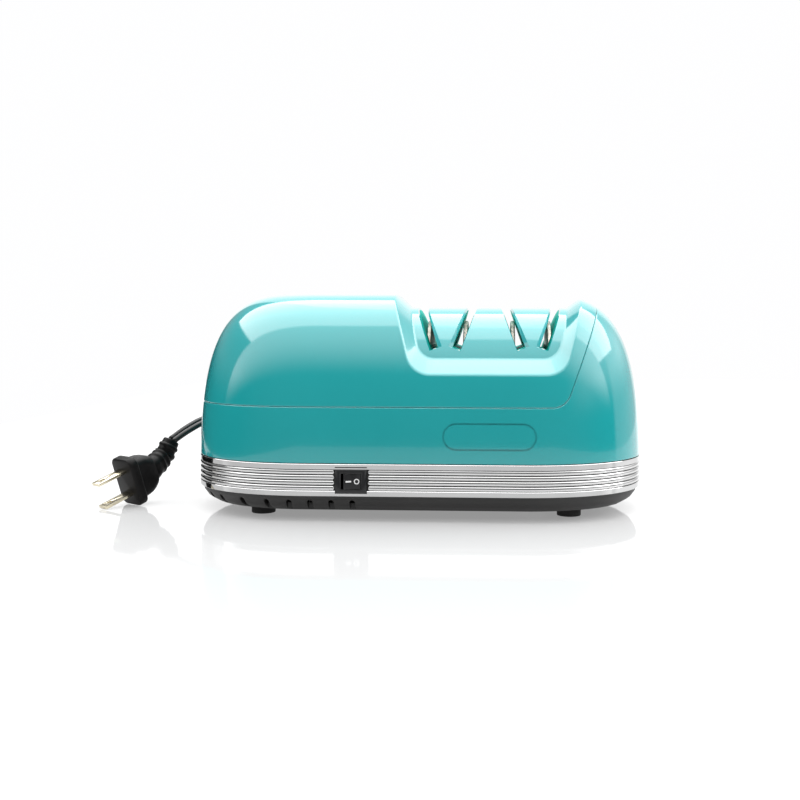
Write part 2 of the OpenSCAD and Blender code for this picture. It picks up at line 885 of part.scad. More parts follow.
// ---- mains lead ----
relief_l = 30;
relief_in = 8;                             // how far the relief reaches inside
module strain_relief() {
    color([0.1, 0.1, 0.1])
        translate([exit_x, half_d, exit_z])
            rotate([-90, 0, 0]) {
                translate([0, 0, -relief_in])
                    cylinder(d = exit_hole_d - 0.2, h = relief_in, $fn = 40);
                translate([0, 0, -relief_in])
                    cylinder(d = 13, h = 4.4, $fn = 40);
                translate([0, 0, -0.2])
                    cylinder(d = 12.5, h = 2.2, $fn = 40);
                translate([0, 0, 2])
                    cylinder(d1 = 10.5, d2 = 7.6, h = relief_l - 2, $fn = 40);
            }
}
clamp_y = 26;
clamp_t = 6;
clamp_half = 9;
clamp_screw_x = 6.5;
clamp_screw_d = 2.2;
module clamp_block(z0, z1) {
    difference() {
        translate([exit_x - clamp_half, clamp_y, z0])
            cube([2 * clamp_half, clamp_t, z1 - z0]);
        translate([exit_x, clamp_y - 1, exit_z])
            rotate([-90, 0, 0])
                cylinder(d = cord_w + 0.2, h = clamp_t + 2, $fn = 32);
        for (s = [-1, 1])
            translate([exit_x + s * clamp_screw_x, clamp_y + clamp_t / 2, exit_z - 8])
                cylinder(d = clamp_screw_d, h = 20, $fn = 20);
    }
}
module cord_bracket() {
    color(dark)
        clamp_block(base_z + tray_floor, exit_z);
}
module cord_cap() {
    color(dark)
        clamp_block(exit_z, exit_z + 5);
}
module clamp_screws() {
    color(steel)
        for (s = [-1, 1])
            translate([exit_x + s * clamp_screw_x, clamp_y + clamp_t / 2, exit_z + 5])
                mirror([0, 0, 1])
                    machine_screw(11, clamp_screw_d, 4);
}

// tube swept along points, one ring a point, with a flattened section
function unit(v) = v / norm(v);
function along(p, i) = unit(p[min(i + 1, len(p) - 1)] - p[max(i - 1, 0)]);
function swept_points(p, r, k) = [
    for (i = [0:len(p) - 1])
        let (d = along(p, i), u = unit(cross(d, abs(d[2]) > 0.9 ? [1, 0, 0] : [0, 0, 1])), v = cross(u, d))
        for (j = [0:k - 1]) p[i] + r * cos(360 * j / k) * u + r * sin(360 * j / k) * v
];
module swept(p, r, k = 8) {
    n = len(p);
    faces = concat(
        [[for (j = [k - 1:-1:0]) j]],
        [for (i = [0:n - 2], j = [0:k - 1]) [i * k + j, i * k + (j + 1) % k, (i + 1) * k + (j + 1) % k]],
        [for (i = [0:n - 2], j = [0:k - 1]) [i * k + j, (i + 1) * k + (j + 1) % k, (i + 1) * k + j]],
        [[for (j = [0:k - 1]) (n - 1) * k + j]]
    );
    polyhedron(swept_points(p, r, k), faces);
}

// one core runs to the switch, the other straight to the coil
wire_r = 0.9;
coil_tap_x = stack_x + stack_l + 1.4 + coil_build;
terminal_x = [switch_x - 3.5, switch_x + 3.5];
terminal_y = switch_back_y + 7 + wire_r;
module mains_cores() {
    color([0.85, 0.85, 0.85]) {
        swept([[exit_x - 1.6, half_d - relief_in, exit_z], [exit_x - 1.6, 24, exit_z], [exit_x, 0, 40],
            [-29, -24, 34], [terminal_x[0], -33, 26], [terminal_x[0], terminal_y, switch_z]], wire_r);
        swept([[exit_x + 1.6, half_d - relief_in, exit_z], [exit_x + 1.6, 24, exit_z], [exit_x + 3, 14, 40],
            [exit_x - 1, 8.5, 36.4], [coil_tap_x, 8.5, 36.4]], wire_r);
    }
}
module switch_wire() {
    color([0.2, 0.2, 0.22])
        swept([[terminal_x[1], terminal_y, switch_z], [terminal_x[1], -32, 25], [-24.5, -22, 31],
            [exit_x - 1, -8, 36], [coil_tap_x, -8, 36]], wire_r);
}

lead_route = [
    [-28, 87, 41], [-28, 93, 40.6], [-27.2, 99, 39.2], [-25, 106, 36.6], [-21, 113, 33.2],
    [-15, 120, 29.8], [-7, 126, 27.4], [2, 130.5, 25.8], [13, 132.8, 25.1], [24, 133, 24.9]
];
coil_centre = [24, 100];
coil_r = 33;
coil_top = 28.2;
tail_route = [
    [24, 67, 3.2], [8, 67, 3.2], [-8, 67, 3.2], [-22, 66.5, 3.2], [-36, 66, 3.6], [-49, 65, 6.5],
    [-60, 63, 12.5], [-70, 60.5, 20], [-81, 56.5, 28], [-92, 51, 36], [-103, 43, 41.5],
    [-113.5, 32, 43.5], [-121.5, 20, 41.5], [-129, 12, 37], [-136, 7, 31.5]
];
module cord_lead() {
    color([0.09, 0.09, 0.09])
        swept(lead_route, cord_w / 2, 10);
}
module cord_coil() {
    color([0.09, 0.09, 0.09])
        translate([coil_centre[0], coil_centre[1], 0.1])
            rotate_extrude($fn = 64)
                translate([coil_r - cord_w / 2, 0])
                    square([cord_w, coil_top]);
}
module cord_tail() {
    color([0.09, 0.09, 0.09])
        swept(tail_route, cord_w / 2, 10);
}

// plug on its side: blades reach down to the floor
plug_at = [-152.3, -18.6, 12.3];
plug_axis = [-0.56, -0.767, -0.315];
plug_span = [-0.176, -0.262, 0.949];
module in_plug_frame() {
    a = unit(plug_axis);
    w = unit(plug_span - (plug_span * a) * a);
    t = cross(w, a);
    multmatrix([[a[0], t[0], w[0], plug_at[0]], [a[1], t[1], w[1], plug_at[1]],
        [a[2], t[2], w[2], plug_at[2]], [0, 0, 0, 1]])
        children();
}
module plug_body() {
    color([0.08, 0.08, 0.08]) {
        in_plug_frame() {
            hull()
                for (y = [-5, 5], z = [-9.5, 9.5])
                    translate([-5, y, z])
                        rotate([0, 90, 0])
                            cylinder(r = 3.5, h = 5, $fn = 32);
            hull() {
                for (z = [-8, 8])
                    translate([-11, 0, z])
                        rotate([0, 90, 0])
                            cylinder(r = 5.5, h = 7, $fn = 32);
                translate([-17, 0, 0])
                    rotate([0, 90, 0])
                        cylinder(r = 5, h = 3, $fn = 32);
            }
        }
        swept([plug_at - 15 * plug_axis, plug_at - 18 * plug_axis + [0, 0, 0.6],
            [-139.5, 3.5, 23.5], [-138, 5, 26.8], [-136, 7, 31.5]], 4.6, 12);
    }
}
module plug_blades() {
    color(brass)
        in_plug_frame()
            for (s = [-1, 1])
                translate([0, 0, s * 6.35])
                    difference() {
                        translate([-4, -3.15, -0.75])
                            cube([4 + 16.5, 6.3, 1.5]);
                        translate([12, 0, -2])
                            cylinder(d = 3, h = 4, $fn = 24);
                    }
}

upper_cover();
lower_housing();
trim_belt();
base_tray();
rubber_feet();
base_screws();
switch_body();
switch_rocker();
switch_terminals();
stator_core();
coil_bobbin();
coil_winding();
rear_bracket();
front_bracket();
motor_bolts();
motor_cradle();
cradle_screws();
rotor_core();
drive_shaft();
cooling_fan();
rear_bush();
front_bush();
end_bush();
end_pedestal();
pedestal_screws();
coarse_wheel_left();
coarse_wheel_right();
fine_wheel_left();
fine_wheel_right();
spacer_sleeves();
shaft_nut();
dust_partition();
cord_bracket();
cord_cap();
clamp_screws();
mains_cores();
switch_wire();
strain_relief();
cord_lead();
cord_coil();
cord_tail();
plug_body();
plug_blades();
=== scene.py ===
import json
import math

import bmesh
import bpy
import numpy as np
from mathutils import Matrix, Vector
from mathutils.geometry import delaunay_2d_cdt

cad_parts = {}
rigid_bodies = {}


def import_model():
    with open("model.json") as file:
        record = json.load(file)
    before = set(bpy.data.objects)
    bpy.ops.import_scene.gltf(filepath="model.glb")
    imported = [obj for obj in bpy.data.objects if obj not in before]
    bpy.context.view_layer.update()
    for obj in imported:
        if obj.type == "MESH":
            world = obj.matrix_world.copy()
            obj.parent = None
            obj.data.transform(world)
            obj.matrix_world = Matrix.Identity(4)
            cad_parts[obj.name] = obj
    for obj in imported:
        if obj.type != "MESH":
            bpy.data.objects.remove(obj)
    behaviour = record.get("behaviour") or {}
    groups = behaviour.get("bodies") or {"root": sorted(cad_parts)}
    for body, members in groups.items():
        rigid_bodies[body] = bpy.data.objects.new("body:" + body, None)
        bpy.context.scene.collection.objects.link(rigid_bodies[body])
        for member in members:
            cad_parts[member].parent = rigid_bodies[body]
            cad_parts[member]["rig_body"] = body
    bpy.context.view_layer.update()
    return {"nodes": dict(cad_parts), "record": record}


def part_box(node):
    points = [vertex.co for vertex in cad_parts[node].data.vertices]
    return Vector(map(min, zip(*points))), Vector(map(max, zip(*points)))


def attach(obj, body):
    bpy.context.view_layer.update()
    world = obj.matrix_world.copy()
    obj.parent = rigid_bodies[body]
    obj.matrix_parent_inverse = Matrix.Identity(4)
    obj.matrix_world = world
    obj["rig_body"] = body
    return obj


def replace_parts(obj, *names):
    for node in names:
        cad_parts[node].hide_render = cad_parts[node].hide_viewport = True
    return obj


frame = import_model()
nodes = frame["nodes"]
mm = 0.001
print("frame loaded,", len(nodes), "nodes")


view = {"place": (39.87, -551.73, 95.88), "turn": 2.48, "dip": 2.04, "roll": 0.14, "lens": 46.90,
        "shift": (-0.0625, -0.05)}


def makeCamera():
    data = bpy.data.cameras.new("camera")
    cam = bpy.data.objects.new("camera", data)
    bpy.context.scene.collection.objects.link(cam)
    cam.location = Vector(view["place"]) * mm
    tilt = Matrix.Rotation(math.radians(90 - view["dip"]), 4, "X")
    turn = Matrix.Rotation(math.radians(view["turn"]), 4, "Z")
    roll = Matrix.Rotation(math.radians(view["roll"]), 4, "Z")
    cam.rotation_euler = (turn @ tilt @ roll).to_euler()
    data.lens = view["lens"]
    data.sensor_width = 36
    data.shift_x, data.shift_y = view["shift"]
    data.clip_end = 50
    bpy.context.scene.camera = cam


makeCamera()


def shaderOf(name):
    mat = bpy.data.materials.new(name)
    mat.use_nodes = True
    tree = mat.node_tree
    return mat, tree, tree.nodes["Principled BSDF"]


def noiseOn(tree, place, scale, detail=3.0):
    noise = tree.nodes.new("ShaderNodeTexNoise")
    noise.inputs["Scale"].default_value = scale
    noise.inputs["Detail"].default_value = detail
    tree.links.new(place, noise.inputs["Vector"])
    return noise.outputs["Fac"]


def rampOn(tree, fac, low, high, at=(0.3, 0.7)):
    ramp = tree.nodes.new("ShaderNodeValToRGB")
    ramp.color_ramp.elements[0].position, ramp.color_ramp.elements[1].position = at
    ramp.color_ramp.elements[0].color = (*low, 1)
    ramp.color_ramp.elements[1].color = (*high, 1)
    tree.links.new(fac, ramp.inputs["Fac"])
    return ramp.outputs["Color"]


def rangeOn(tree, fac, low, high):
    spread = tree.nodes.new("ShaderNodeMapRange")
    spread.inputs["To Min"].default_value = low
    spread.inputs["To Max"].default_value = high
    tree.links.new(fac, spread.inputs["Value"])
    return spread.outputs["Result"]


def bumpOn(tree, shader, height, strength, depth):
    bump = tree.nodes.new("ShaderNodeBump")
    bump.inputs["Strength"].default_value = strength
    bump.inputs["Distance"].default_value = depth
    tree.links.new(height, bump.inputs["Height"])
    tree.links.new(bump.outputs["Normal"], shader.inputs["Normal"])


# two close tones in soft patches, a fine grain, and gloss that varies with it
def plainFinish(name, dark, light, rough, metal=0.0, grain=900, grainDepth=0.00004, patch=35,
                strength=0.25, stretch=(1, 1, 1), specular=0.5, coat=0.0):
    mat, tree, shader = shaderOf(name)
    coord = tree.nodes.new("ShaderNodeTexCoord")
    mapping = tree.nodes.new("ShaderNodeMapping")
    mapping.inputs["Scale"].default_value = stretch
    tree.links.new(coord.outputs["Object"], mapping.inputs["Vector"])
    place = mapping.outputs["Vector"]
    patches = noiseOn(tree, place, patch)
    tree.links.new(rampOn(tree, patches, dark, light), shader.inputs["Base Color"])
    tree.links.new(rangeOn(tree, noiseOn(tree, place, patch * 4), *rough), shader.inputs["Roughness"])
    shader.inputs["Metallic"].default_value = metal
    shader.inputs["Specular IOR Level"].default_value = specular
    shader.inputs["Coat Weight"].default_value = coat
    shader.inputs["Coat Roughness"].default_value = 0.03
    bumpOn(tree, shader, noiseOn(tree, place, grain), strength, grainDepth)
    return mat


finishes = {
    "teal_shell": plainFinish("teal_shell", (0.012, 0.325, 0.340), (0.015, 0.338, 0.354), (0.09, 0.12),
                              grain=260, grainDepth=0.00002, strength=0.03, patch=14, specular=0.7, coat=0.9),
    # slot_wall: the teal's copy for the slot walls and inner faces; its greener tone is painted shade for the walls
    # inside the slots, its low gloss the matte inner moulding
    "slot_wall": plainFinish("slot_wall", (0.004, 0.40, 0.33), (0.006, 0.44, 0.37), (0.45, 0.55), grain=900,
                             specular=0.05),
    "chrome_trim": plainFinish("chrome_trim", (0.60, 0.60, 0.60), (0.66, 0.66, 0.66), (0.05, 0.09), 1.0,
                               grain=500, grainDepth=0.00001, strength=0.03),
    # groove_shade: near-black painted shade for the belt's groove floors and the slit above the switch
    "groove_shade": plainFinish("groove_shade", (0.020, 0.020, 0.019), (0.030, 0.030, 0.028), (0.3, 0.4), 0.5),
    "black_plastic": plainFinish("black_plastic", (0.013, 0.0127, 0.0124), (0.018, 0.0175, 0.017), (0.42, 0.52),
                                 grain=2200, grainDepth=0.00005, strength=0.35),
    "foot_rubber": plainFinish("foot_rubber", (0.014, 0.014, 0.014), (0.022, 0.022, 0.022), (0.6, 0.8),
                               grain=1500, strength=0.3),
    "zinc_steel": plainFinish("zinc_steel", (0.56, 0.57, 0.60), (0.68, 0.69, 0.70), (0.25, 0.42), 1.0),
    "switch_plastic": plainFinish("switch_plastic", (0.010, 0.010, 0.011), (0.016, 0.016, 0.017), (0.25, 0.36),
                                  grain=2600, grainDepth=0.00003, strength=0.2),
    "plated_brass": plainFinish("plated_brass", (0.66, 0.58, 0.40), (0.84, 0.78, 0.62), (0.12, 0.24), 1.0,
                                grain=800, stretch=(1, 1, 4), strength=0.1),
    "lamination_steel": plainFinish("lamination_steel", (0.26, 0.27, 0.29), (0.40, 0.41, 0.43), (0.3, 0.5), 1.0,
                                    grain=300, stretch=(12, 1, 1), strength=0.5),
    "white_nylon": plainFinish("white_nylon", (0.72, 0.71, 0.65), (0.82, 0.81, 0.76), (0.4, 0.5)),
    "copper_wire": plainFinish("copper_wire", (0.42, 0.15, 0.06), (0.70, 0.34, 0.17), (0.2, 0.35), 1.0,
                               grain=700, stretch=(1, 6, 1), strength=0.8, grainDepth=0.0003),
    "die_cast": plainFinish("die_cast", (0.50, 0.51, 0.52), (0.62, 0.63, 0.64), (0.35, 0.5), 1.0, grain=1400),
    "bright_steel": plainFinish("bright_steel", (0.62, 0.62, 0.63), (0.74, 0.74, 0.75), (0.12, 0.22), 1.0,
                                stretch=(8, 1, 1)),
    "bronze_bush": plainFinish("bronze_bush", (0.42, 0.26, 0.12), (0.58, 0.40, 0.22), (0.3, 0.45), 1.0, grain=2400),
    "coarse_abrasive": plainFinish("coarse_abrasive", (0.34, 0.27, 0.23), (0.72, 0.64, 0.57), (0.25, 0.5), 0.75,
                                   grain=3200, grainDepth=0.00012, strength=0.7, patch=260),
    "fine_abrasive": plainFinish("fine_abrasive", (0.42, 0.35, 0.30), (0.82, 0.76, 0.69), (0.2, 0.4), 0.75,
                                 grain=5200, grainDepth=0.00008, strength=0.6, patch=320),
    "wire_sheath": plainFinish("wire_sheath", (0.60, 0.60, 0.58), (0.74, 0.74, 0.72), (0.35, 0.45)),
    "cord_rubber": plainFinish("cord_rubber", (0.010, 0.010, 0.010), (0.016, 0.016, 0.016), (0.16, 0.26),
                               grain=900, grainDepth=0.00002, strength=0.08),
    "plug_vinyl": plainFinish("plug_vinyl", (0.0045, 0.0043, 0.0043), (0.0065, 0.0062, 0.0062), (0.34, 0.42),
                              grain=2600, grainDepth=0.00005, strength=0.2, specular=0.14),
    "mark_paint": plainFinish("mark_paint", (0.80, 0.80, 0.80), (0.88, 0.88, 0.88), (0.4, 0.5)),
}
slotOf = {part["node"]: part["material_slot"] for part in frame["record"]["subparts"]}
for name, node in nodes.items():
    node.data.materials.clear()
    node.data.materials.append(finishes[slotOf[name]])
print("materials made")


# a piece from points in millimetres
def meshObject(name, points, faces, slot, body="root", smooth=True):
    mesh = bpy.data.meshes.new(name)
    mesh.from_pydata([tuple(p) for p in np.asarray(points, float) * mm], [], [tuple(map(int, f)) for f in faces])
    mesh.polygons.foreach_set("use_smooth", [smooth] * len(mesh.polygons))
    piece = bpy.data.objects.new(name, mesh)
    bpy.context.scene.collection.objects.link(piece)
    return dressed(piece, slot, body)


def dressed(piece, slot, body="root"):
    piece.data.materials.clear()
    piece.data.materials.append(finishes[slot])
    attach(piece, body)
    return piece


# applies what the modifiers show and takes them off
def plainMesh(piece):
    graph = bpy.context.evaluated_depsgraph_get()
    mesh = bpy.data.meshes.new_from_object(piece.evaluated_get(graph), preserve_all_data_layers=True,
                                           depsgraph=graph)
    piece.modifiers.clear()
    piece.data = mesh
    return piece


# turns every face outwards, once points nearer than merge have joined
def facingOut(mesh, merge=0.0):
    made = bmesh.new()
    made.from_mesh(mesh)
    if merge:
        bmesh.ops.remove_doubles(made, verts=made.verts, dist=merge)
    bmesh.ops.recalc_face_normals(made, faces=made.faces)
    made.to_mesh(mesh)
    made.free()


def smoothByAngle(mesh, degrees):
    mesh.polygons.foreach_set("use_smooth", [True] * len(mesh.polygons))
    mesh.set_sharp_from_angle(angle=math.radians(degrees))


# a copy of a node's mesh with its sharp edges rounded
def softened(node, width, name, angle=35, segments=2):
    mesh = nodes[node].data.copy()
    made = bmesh.new()
    made.from_mesh(mesh)
    bmesh.ops.remove_doubles(made, verts=made.verts, dist=2e-6)
    bmesh.ops.dissolve_limit(made, angle_limit=math.radians(1), verts=made.verts, edges=made.edges)
    made.to_mesh(mesh)
    made.free()
    piece = bpy.data.objects.new(name, mesh)
    bpy.context.scene.collection.objects.link(piece)
    bevel = piece.modifiers.new("edges", "BEVEL")
    bevel.width = width * mm
    bevel.segments = segments
    bevel.limit_method = "ANGLE"
    bevel.angle_limit = math.radians(angle)
    bevel.harden_normals = False
    plainMesh(piece)
    smoothByAngle(piece.data, angle)
    body = nodes[node].get("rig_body")
    dressed(piece, slotOf[node], body)
    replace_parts(piece, node)
    return piece


lead = {
    "width": 6.0, "lobe": 1.62, "lobeApart": 1.38, "perTurn": 40, "turns": 3.5,
    "out": [(-28, 87, 41), (-28, 93, 40.6), (-27.2, 99, 39.2), (-25, 106, 36.6), (-21, 113, 33.2),
            (-15, 120, 29.8), (-7, 126, 27.4), (2, 130.5, 25.8), (13, 132.8, 25.1), (24, 133, 24.9)],
    "coilMiddle": (24, 100), "coilRadius": 33, "coilTop": 24.9, "coilLow": 3.2,
    "tail": [(24, 67, 3.2), (8, 67, 3.2), (-8, 67, 3.2), (-22, 66.5, 3.2), (-36, 66, 3.6), (-49, 65, 6.5),
             (-60, 63, 12.5), (-70, 60.5, 20), (-81, 56.5, 28), (-92, 51, 36), (-103, 43, 41.5),
             (-113.5, 32, 43.5), (-121.5, 20, 41.5), (-129, 12, 37), (-136, 7, 31.5)],
}


# an even run of points through the given ones
def smoothPath(points, step=1.6):
    p = np.array(points, float)
    ends = np.vstack([2 * p[0] - p[1], p, 2 * p[-1] - p[-2]])
    out = []
    for i in range(len(p) - 1):
        a, b, c, d = ends[i:i + 4]
        for t in np.linspace(0, 1, 24, endpoint=False):
            out.append(0.5 * (2 * b + (c - a) * t + (2 * a - 5 * b + 4 * c - d) * t * t
                              + (3 * b - a - 3 * c + d) * t ** 3))
    out.append(p[-1])
    out = np.array(out)
    run = np.concatenate([[0], np.cumsum(np.linalg.norm(np.diff(out, axis=0), axis=1))])
    even = np.linspace(0, run[-1], max(2, int(run[-1] / step)) + 1)
    return np.stack([np.interp(even, run, out[:, k]) for k in range(3)], 1)


def unitRows(v):
    return v / np.maximum(np.linalg.norm(v, axis=-1, keepdims=True), 1e-12)


# rings of a section along a path, with the section's x along wide
def sweep(path, section, wide):
    tangent = unitRows(np.gradient(path, axis=0))
    side = unitRows(wide - (wide * tangent).sum(1, keepdims=True) * tangent)
    thin = np.cross(tangent, side)
    rings = path[:, None] + section[None, :, :1] * side[:, None] + section[None, :, 1:] * thin[:, None]
    count = len(section)
    faces = [(i * count + j, i * count + (j + 1) % count, (i + 1) * count + (j + 1) % count,
              (i + 1) * count + j) for i in range(len(path) - 1) for j in range(count)]
    faces.append(tuple(range(count))[::-1])
    faces.append(tuple((len(path) - 1) * count + j for j in range(count)))
    return rings.reshape(-1, 3), faces


# outline of two round cores side by side in one jacket
def twinSection(lobe, apart, count=14):
    web = math.acos(apart / lobe) * 0.72
    right = [(apart + lobe * math.cos(a), lobe * math.sin(a))
             for a in np.linspace(-math.pi + web, math.pi - web, count)]
    return np.array(right + [(-x, -y) for x, y in right])


def leadPath():
    angle = np.linspace(math.pi / 2, math.pi / 2 - 2 * math.pi * lead["turns"],
                        int(lead["turns"] * lead["perTurn"]) + 1)
    cx, cy = lead["coilMiddle"]
    coil = np.stack([cx + lead["coilRadius"] * np.cos(angle), cy + lead["coilRadius"] * np.sin(angle),
                     np.linspace(lead["coilTop"], lead["coilLow"], len(angle))], 1)
    first, last = smoothPath(lead["out"]), smoothPath(lead["tail"])
    return np.vstack([first[:-1], coil, last[1:]]), len(first), len(coil)


def makeLead():
    path, firstCount, coilCount = leadPath()
    i = np.arange(len(path))
    tangent = unitRows(np.gradient(path, axis=0))
    flat = unitRows(np.cross(tangent, (0, 0, 1)))
    upright = unitRows(np.cross(flat, tangent))
    leaving = np.clip((i - firstCount * 0.2) / (firstCount * 0.7), 0, 1)
    arriving = np.clip((i - firstCount - coilCount) / 50, 0, 1)
    turn = np.radians(90 * leaving * leaving * (3 - 2 * leaving)
                      - 62 * arriving * arriving * (3 - 2 * arriving))[:, None]
    wide = np.cos(turn) * flat + np.sin(turn) * upright
    points, faces = sweep(path, twinSection(lead["lobe"], lead["lobeApart"]), wide)
    piece = meshObject("mains_lead", points, faces, "cord_rubber")
    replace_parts(piece, "cord_lead", "cord_coil", "cord_tail")
    length = np.linalg.norm(np.diff(path, axis=0), axis=1).sum() * mm
    return piece, path, length


leadPiece, leadRun, leadLength = makeLead()
print("lead made,", round(leadLength, 3), "m")


relief = {"hole": 4.4, "flange": 6.25, "root": 5.3, "tip": 3.75, "length": 30, "ribs": 6, "ribProud": 0.75}


# rings of (radius, height) round the z axis, closed at both ends
def lathe(profile, count=48):
    angle = np.linspace(0, 2 * math.pi, count, endpoint=False)
    points = [(r * math.cos(a), r * math.sin(a), h) for r, h in profile for a in angle]
    rows = len(profile)
    faces = [(i * count + j, i * count + (j + 1) % count, (i + 1) * count + (j + 1) % count,
              (i + 1) * count + j) for i in range(rows - 1) for j in range(count)]
    faces.append(tuple(range(count))[::-1])
    faces.append(tuple((rows - 1) * count + j for j in range(count)))
    return np.array(points), faces


def makeRelief():
    low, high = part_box("strain_relief")
    exitX, exitZ = (low.x + high.x) / 2 / mm, (low.z + high.z) / 2 / mm
    backY = high.y / mm - relief["length"]
    profile = [(relief["hole"], -8), (6.5, -8), (6.5, -3.6), (relief["hole"], -3.6), (relief["hole"], 0.1),
               (relief["flange"] - 0.3, 0.1), (relief["flange"], 0.5), (relief["flange"], 1.5),
               (relief["flange"] - 0.4, 2.0), (relief["root"], 2.2)]
    pitch = (relief["length"] - 5) / relief["ribs"]
    for k in range(relief["ribs"]):
        start = 3 + pitch * k
        for part, proud in ((0, 0), (0.08, 0.8), (0.25, 1), (0.42, 0.8), (0.5, 0), (0.95, 0)):
            h = start + pitch * part
            share = h / relief["length"]
            r = relief["root"] + (relief["tip"] - relief["root"]) * share
            profile.append((r + relief["ribProud"] * proud * (1 - 0.5 * share), h))
    profile += [(relief["tip"] + 0.1, relief["length"] - 0.6), (relief["tip"] - 0.4, relief["length"])]
    points, faces = lathe(profile)
    placed = np.stack([points[:, 0] + exitX, points[:, 2] + backY, -points[:, 1] + exitZ], 1)
    piece = meshObject("lead_relief", placed, faces, "cord_rubber")
    smoothByAngle(piece.data, 50)
    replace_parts(piece, "strain_relief")
    return piece


reliefPiece = makeRelief()

plug = {"place": (-152.3, -18.6, 12.3), "axis": (-0.56, -0.767, -0.315), "span": (-0.176, -0.262, 0.949)}


def plugFrame():
    a = np.array(plug["axis"]) / np.linalg.norm(plug["axis"])
    w = np.array(plug["span"]) - np.dot(plug["span"], a) * a
    w /= np.linalg.norm(w)
    return a, np.cross(w, a), w


# rounded rectangle as points, widest along its second axis
def roundedRing(half, thick, corner, count=10):
    corner = min(corner, half, thick) * 0.999
    ring = []
    for qx, qy, start in ((1, 1, 0), (-1, 1, 90), (-1, -1, 180), (1, -1, 270)):
        for w in np.linspace(start, start + 90, count):
            ring.append((qx * (thick - corner) + corner * math.cos(math.radians(w)),
                         qy * (half - corner) + corner * math.sin(math.radians(w))))
    return np.array(ring)


def makePlug():
    a, t, w = plugFrame()
    at = np.array(plug["place"])
    stations = [  # distance behind the face, half span, half thickness, corner
        (0.0, 12.1, 7.5, 3.2), (0.25, 12.7, 8.1, 3.6), (0.8, 13.0, 8.4, 3.9), (4.2, 13.0, 8.5, 3.9),
        (4.8, 12.8, 8.3, 3.8), (5.1, 12.3, 7.9, 3.5), (5.2, 11.2, 7.0, 3.4), (5.5, 10.9, 6.8, 3.4),
        (8.0, 10.8, 6.9, 3.8), (11.0, 10.5, 6.8, 4.2), (13.5, 9.7, 6.5, 4.6), (15.5, 8.6, 6.1, 5.0),
        (16.1, 8.1, 5.9, 5.0), (16.3, 7.0, 5.3, 5.0), (17.5, 6.3, 5.1, 4.9), (18.5, 5.9, 5.0, 4.8)]
    stem = smoothPath([at - 17 * a, at - 18.5 * a + (0, 0, 0.8), (-139.5, 3.5, 23.5), (-138, 5, 26.8),
                       (-136, 7, 31.5)], 0.5)
    rings = []
    for back, half, thick, corner in stations[:-2]:
        ring = roundedRing(half, thick, corner)
        rings.append(at - back * a + ring[:, :1] * t + ring[:, 1:] * w)
    tangent = unitRows(np.gradient(stem, axis=0))
    run = np.linspace(0, 1, len(stem))
    wide = unitRows(w - (tangent * w).sum(1, keepdims=True) * tangent)
    thin = np.cross(wide, -tangent)
    for i, share in enumerate(run):
        phase = (share * 5.2) % 1
        inRib = 0.12 < share < 0.9 and phase < 0.52
        swell = 0.75 * math.sin(math.pi * phase / 0.52) ** 0.5 if inRib else 0
        taper = 1 - share
        ring = roundedRing(4.2 + 1.9 * taper + swell, 3.6 + 1.4 * taper + swell, 3.0 + 1.6 * taper + swell)
        if share > 0.985:
            ring = ring * 0.93
        rings.append(stem[i] + ring[:, :1] * thin[i] + ring[:, 1:] * wide[i])
    count = len(rings[0])
    points = np.vstack(rings)
    faces = [(i * count + j, (i + 1) * count + j, (i + 1) * count + (j + 1) % count,
              i * count + (j + 1) % count) for i in range(len(rings) - 1) for j in range(count)]
    faces.append(tuple(range(count)))
    faces.append(tuple((len(rings) - 1) * count + j for j in range(count))[::-1])
    piece = meshObject("mains_plug", points, faces, "plug_vinyl")
    facingOut(piece.data, 1e-6)
    smoothByAngle(piece.data, 40)
    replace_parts(piece, "plug_body")
    return piece


plugPiece = makePlug()
bladePiece = softened("plug_blades", 0.35, "plug_blade_pair")
print("plug made")


beltLow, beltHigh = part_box("trim_belt")
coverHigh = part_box("upper_cover")[1]
shell = {
    "halfW": beltHigh.x / mm, "halfD": beltHigh.y / mm, "low": beltHigh.z / mm,
    "high": (coverHigh.z - beltHigh.z) / mm,
    "beltGap": 0.8, "straight": 50.0, "power": 2.2, "endInset": (0, 1.5, 7.5, 45.5), "sideInset": (0, 1, 10, 47),
    "rise": (0, 0.57, 1, 1), "capEnd": 18.0, "endTurn": 95.0, "axisZ": 45.0, "wall": 2.2, "roll": 0.5,
    "partingZ": 55.3, "partingX": 73.9, "partingLean": 20.9, "partingR": 9.0, "partingGap": 0.53,
}
recess = {"x": 36.75, "depth": 6.7, "side": 15.0, "half": 26.7, "rimZ": 71.0, "floorZ": 78.2, "r": 9.0,
          "rounding": 0.12, "ends": -0.8}
slots = {"stages": (15.25, 58.25), "wide": 4.2, "tilt": 20.0, "floorZ": 83.2, "halfGap": 5.5, "edge": 0.3,
         "chamferLow": 1.9, "chamferTop": 0.9, "chamferDeep": 1.1}


def bezier(p, t):
    return (1 - t) ** 3 * p[0] + 3 * t * (1 - t) ** 2 * p[1] + 3 * t * t * (1 - t) * p[2] + t ** 3 * p[3]


# half width, half depth and height of the form's outline; t runs from belt to crown and over the cap
def ringAt(t, inset=0.0):
    k, cap = np.clip(t, 0, 1), np.clip(np.asarray(t) - 1, 0, 1)
    a = shell["halfW"] - bezier(shell["endInset"], k) - inset * recess["ends"] - cap * shell["capEnd"]
    b = (shell["halfD"] - bezier(shell["sideInset"], k) - inset) * (1 - cap)
    return a, b, shell["low"] + (shell["high"] - inset) * bezier(shell["rise"], k)


tTable = np.linspace(0, 1, 8001)


def tAt(z, inset=0.0):
    return np.interp(z, ringAt(tTable, inset)[2], tTable)


def crownAt(inset):
    return shell["low"] + shell["high"] - inset


# how far forward the form reaches at x and z
def frontY(x, z, inset=0.0):
    a, b, _ = ringAt(tAt(z, inset), inset)
    over = np.clip((np.abs(x) - shell["straight"]) / (a - shell["straight"]), 0, 1)
    y = b * (1 - over ** shell["power"]) ** (1 / shell["power"])
    return np.where(np.asarray(z) > crownAt(inset), -1.0, y)


